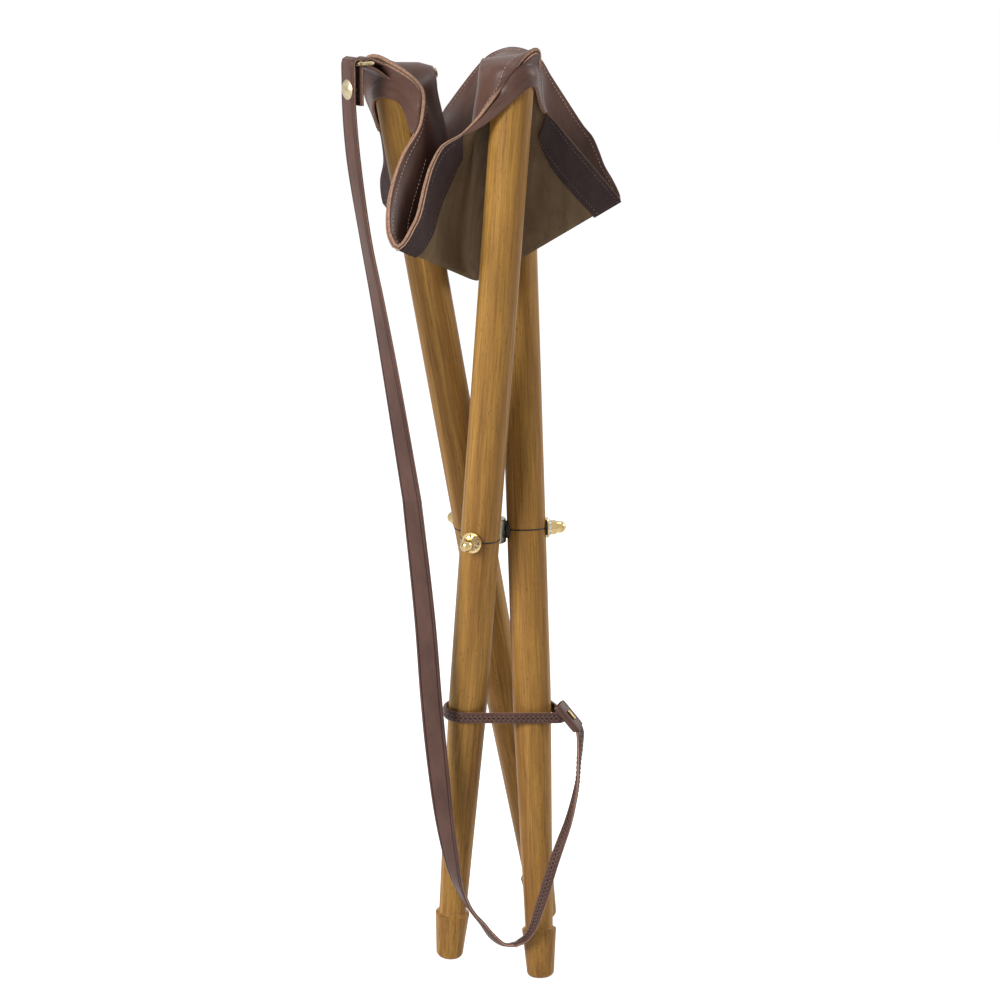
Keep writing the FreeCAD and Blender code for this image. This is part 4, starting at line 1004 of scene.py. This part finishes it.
def lacing(name, middle, w, out, thick, body, both_sides):
    """Dark discs of painted shade where round holes go along the middle of a strap, each with a slanting lace to
    either side.
    Body is called for each of the two pieces, to set what it moves with."""
    lengths = np.concatenate([[0], np.cumsum(np.linalg.norm(np.diff(middle, axis=0), axis=1))])
    at = np.arange(hole_pitch, lengths[-1] - 1, hole_pitch)

    def sample(values, where):
        return np.stack([np.interp(where, lengths, values[:, i]) for i in range(3)], axis=1)
    hole = [[], [], []]
    strand = [[], [], []]
    for face in ((1, -1) if both_sides else (1,)):
        m, side, o = sample(middle, at), unit(sample(w, at)), unit(sample(out, at)) * face
        forward = unit(sample(middle, at + 0.5) - sample(middle, at - 0.5))
        for group, item in zip(hole, (m + o * (thick / 2 + 0.02), forward, o)):
            group.append(item)
        for hand in (-1, 1):
            start = side * (hand * 1.75) + forward * 0.5
            laid = (m + start + o * (thick / 2 + 0.1), unit(side * hand + forward * 0.9), o)
            for group, item in zip(strand, laid):
                group.append(item)
    hole_shades = beads(name + "_holes", *[np.concatenate(g) for g in hole], (0.8, 0.7, 0.16), hole_shade)
    laces = beads(name + "_laces", *[np.concatenate(g) for g in strand], (1.35, 0.42, 0.3), lace)
    for piece in (hole_shades, laces):
        body(piece)


lacing("tail", tail_line, tail_w, tail_out, strap_thick * 1.05, lambda piece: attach(piece, "leg_b"), True)

# A tie of the same narrow laced strap is passed round the three legs and drawn tight, so that
# the folded stool stays closed. It is drawn out to a nose beside the keeper.
tie_height = 8.5
tie_thick = 2.6
tie_level = -139.5
tie_room = 1.1
leg_r = 15.0
nose = keeper_middle - np.array((8.5, -7.5, 2.4))
nose_r = 3.5


def leg_at(k, height):
    """The point on a leg's axis at a height over the bolt's middle."""
    pivot = (np.array(hinges[k]["pos_m"]) - np.array(bolt_middle)) * 1000
    return pivot + up_leg[k] * ((height - pivot[2]) / up_leg[k][2])


def taut_loop(circles, level, step):
    """A taut band round some upright bars: points, evenly spaced, anticlockwise from above."""
    dots = []
    for (x, y), r in circles:
        for a in np.linspace(0, 2 * math.pi, 120, endpoint=False):
            dots.append((x + r * math.cos(a), y + r * math.sin(a)))
    dots.sort()
    hull = []
    for one_way in (dots, dots[::-1]):
        start = len(hull)
        for p in one_way:
            while len(hull) >= start + 2:
                (ax, ay), (bx, by) = hull[-2], hull[-1]
                if (bx - ax) * (p[1] - ay) - (by - ay) * (p[0] - ax) > 0:
                    break
                hull.pop()
            hull.append(p)
        hull.pop()
    ring = np.array([(x, y, level) for x, y in hull + hull[:1]])
    total = np.linalg.norm(np.diff(ring, axis=0), axis=1).sum()
    return even(ring, int(total / step))[0][:-1]


tie_bar_r = leg_r + tie_room + tie_thick / 2
tie_bars = [(leg_at("a", tie_level)[:2], tie_bar_r), (nose[:2], nose_r + tie_thick / 2),
            (leg_at("c", tie_level)[:2], tie_bar_r)]
tie_spacing = 1.5
band = taut_loop(tie_bars, tie_level, tie_spacing)
centres = np.array([bar[0] for bar in tie_bars])
seams = [(centres[i] + centres[(i + 1) % 3]) / 2 for i in range(3)]
middle_of_tie = centres.mean(axis=0)
cuts = []
for seam in seams:
    direction = seam - middle_of_tie
    off = band[:, :2] - middle_of_tie
    cosine = (off @ direction) / np.linalg.norm(off, axis=1) / np.linalg.norm(direction)
    cuts.append(int(np.argmax(cosine)))
for i, k in ((0, "a"), (1, "b"), (2, "c")):
    start, stop = cuts[i - 1], cuts[i]
    picked = np.arange(start, stop + 1 if stop > start else stop + 1 + len(band)) % len(band)
    stations = [(tuple(p), (0, 0, -1.0), tie_height) for p in band[picked]]
    piece, line, w, out = leather_ribbon("tie_at_leg_" + k, stations, tie_spacing, tie_thick,
                                         [strap_finish, cut_edge], lines=False)
    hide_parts("tie_loop")
    begin, finish_at = band[start], band[stop]
    chord = unit(finish_at - begin)
    away = np.array((chord[1], -chord[0], 0.0))
    far = centres[i] - begin[:2]
    reach = abs(far @ away[:2]) + 4
    ends = (bolt_middle + Vector(begin / 1000), bolt_middle + Vector((begin + away * reach) / 1000))

    def tie_follow(piece, k=k, ends=ends):
        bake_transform(piece)
    tie_follow(piece)
    lacing("tie_" + k, line, w, out, tie_thick * 1.05, tie_follow, False)

# The keeper is a short sleeve of leather folded round the tail's end, pressed flat, with a brass
# staple through its face.
sleeve_length = 24.0
sleeve_outer = (11.6, 6.2)
sleeve_bore = (8.8, 3.4)
rings = 25
around = 40
angles = np.arange(around) * 2 * math.pi / around
points = []
for size, order in ((sleeve_outer, 3.2), (sleeve_bore, 4.0)):
    for i in range(rings):
        s = i / (rings - 1)
        outer = size is sleeve_outer
        lip = 1 - 0.07 * abs(2 * s - 1) ** 6 if outer else 1
        pinch = 1 - 0.05 * math.sin(math.pi * s) if outer else 1
        for a in angles:
            c, n = math.cos(a), math.sin(a)
            y = math.copysign(abs(c) ** (2 / order), c) * size[0] / 2 * lip
            z = math.copysign(abs(n) ** (2 / order), n) * size[1] / 2 * lip * pinch
            points.append(keeper_middle + keeper_along * ((s - 0.5) * sleeve_length)
                          + keeper_side * y + keeper_face * z)
faces = []
which = []
for sheet_no in range(2):
    base = sheet_no * rings * around
    for i in range(rings - 1):
        for j in range(around):
            a, b = base + i * around + j, base + i * around + (j + 1) % around
            faces.append((a, b, b + around, a + around))
            which.append(0)
for i in (0, rings - 1):
    for j in range(around):
        a, b = i * around + j, i * around + (j + 1) % around
        faces.append((a, b, b + rings * around, a + rings * around))
        which.append(1)
sleeve_grain = np.array(points) * (1, 1, 0) / 1000 + np.array((0, 0, 4.0)) / 1000
keeper = make_piece("keeper_sleeve", points, faces, [strap_finish, cut_edge], which, sleeve_grain)
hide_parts("keeper")
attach(keeper, "leg_b")
dress("keeper_staple", brass)

# The ring's tab is a short strip of the dark leather, looped over the ring's inner bar and sewn
# down on both sides of the seat's corner.
tab_thick = 2.4
tab_width = 15.0
tab_layer = ring_wire_r + ring_gap + tab_thick / 2
tab_bar = ring_middle + bar_out * ring_half
tab_stations = []
for out_by, up_by in ((19.0, -14.0), (13.0, -9.6), (7.0, -5.8)):
    tab_stations.append((tab_bar + bar_out * out_by + (0, 0, up_by), bar_along, tab_width))
for degrees in (-80, -120, -160, -200, -240, -280):
    a = math.radians(degrees)
    turned = bar_out * (tab_layer * math.cos(a)) + np.array((0, 0, tab_layer * math.sin(a)))
    tab_stations.append((tab_bar + turned, bar_along, tab_width))
for out_by, up_by in ((6.0, 1.0), (12.0, -1.8), (18.0, -5.2)):
    tab_stations.append((tab_bar + bar_out * out_by + (0, 0, up_by), bar_along, tab_width))
tab = leather_ribbon("ring_tab_loop", [(tuple(p), tuple(-w), s) for p, w, s in tab_stations], 1.2, tab_thick,
                     [smooth_brown, cut_edge], lines=False)[0]
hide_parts("ring_tab")
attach(tab, "leg_c")
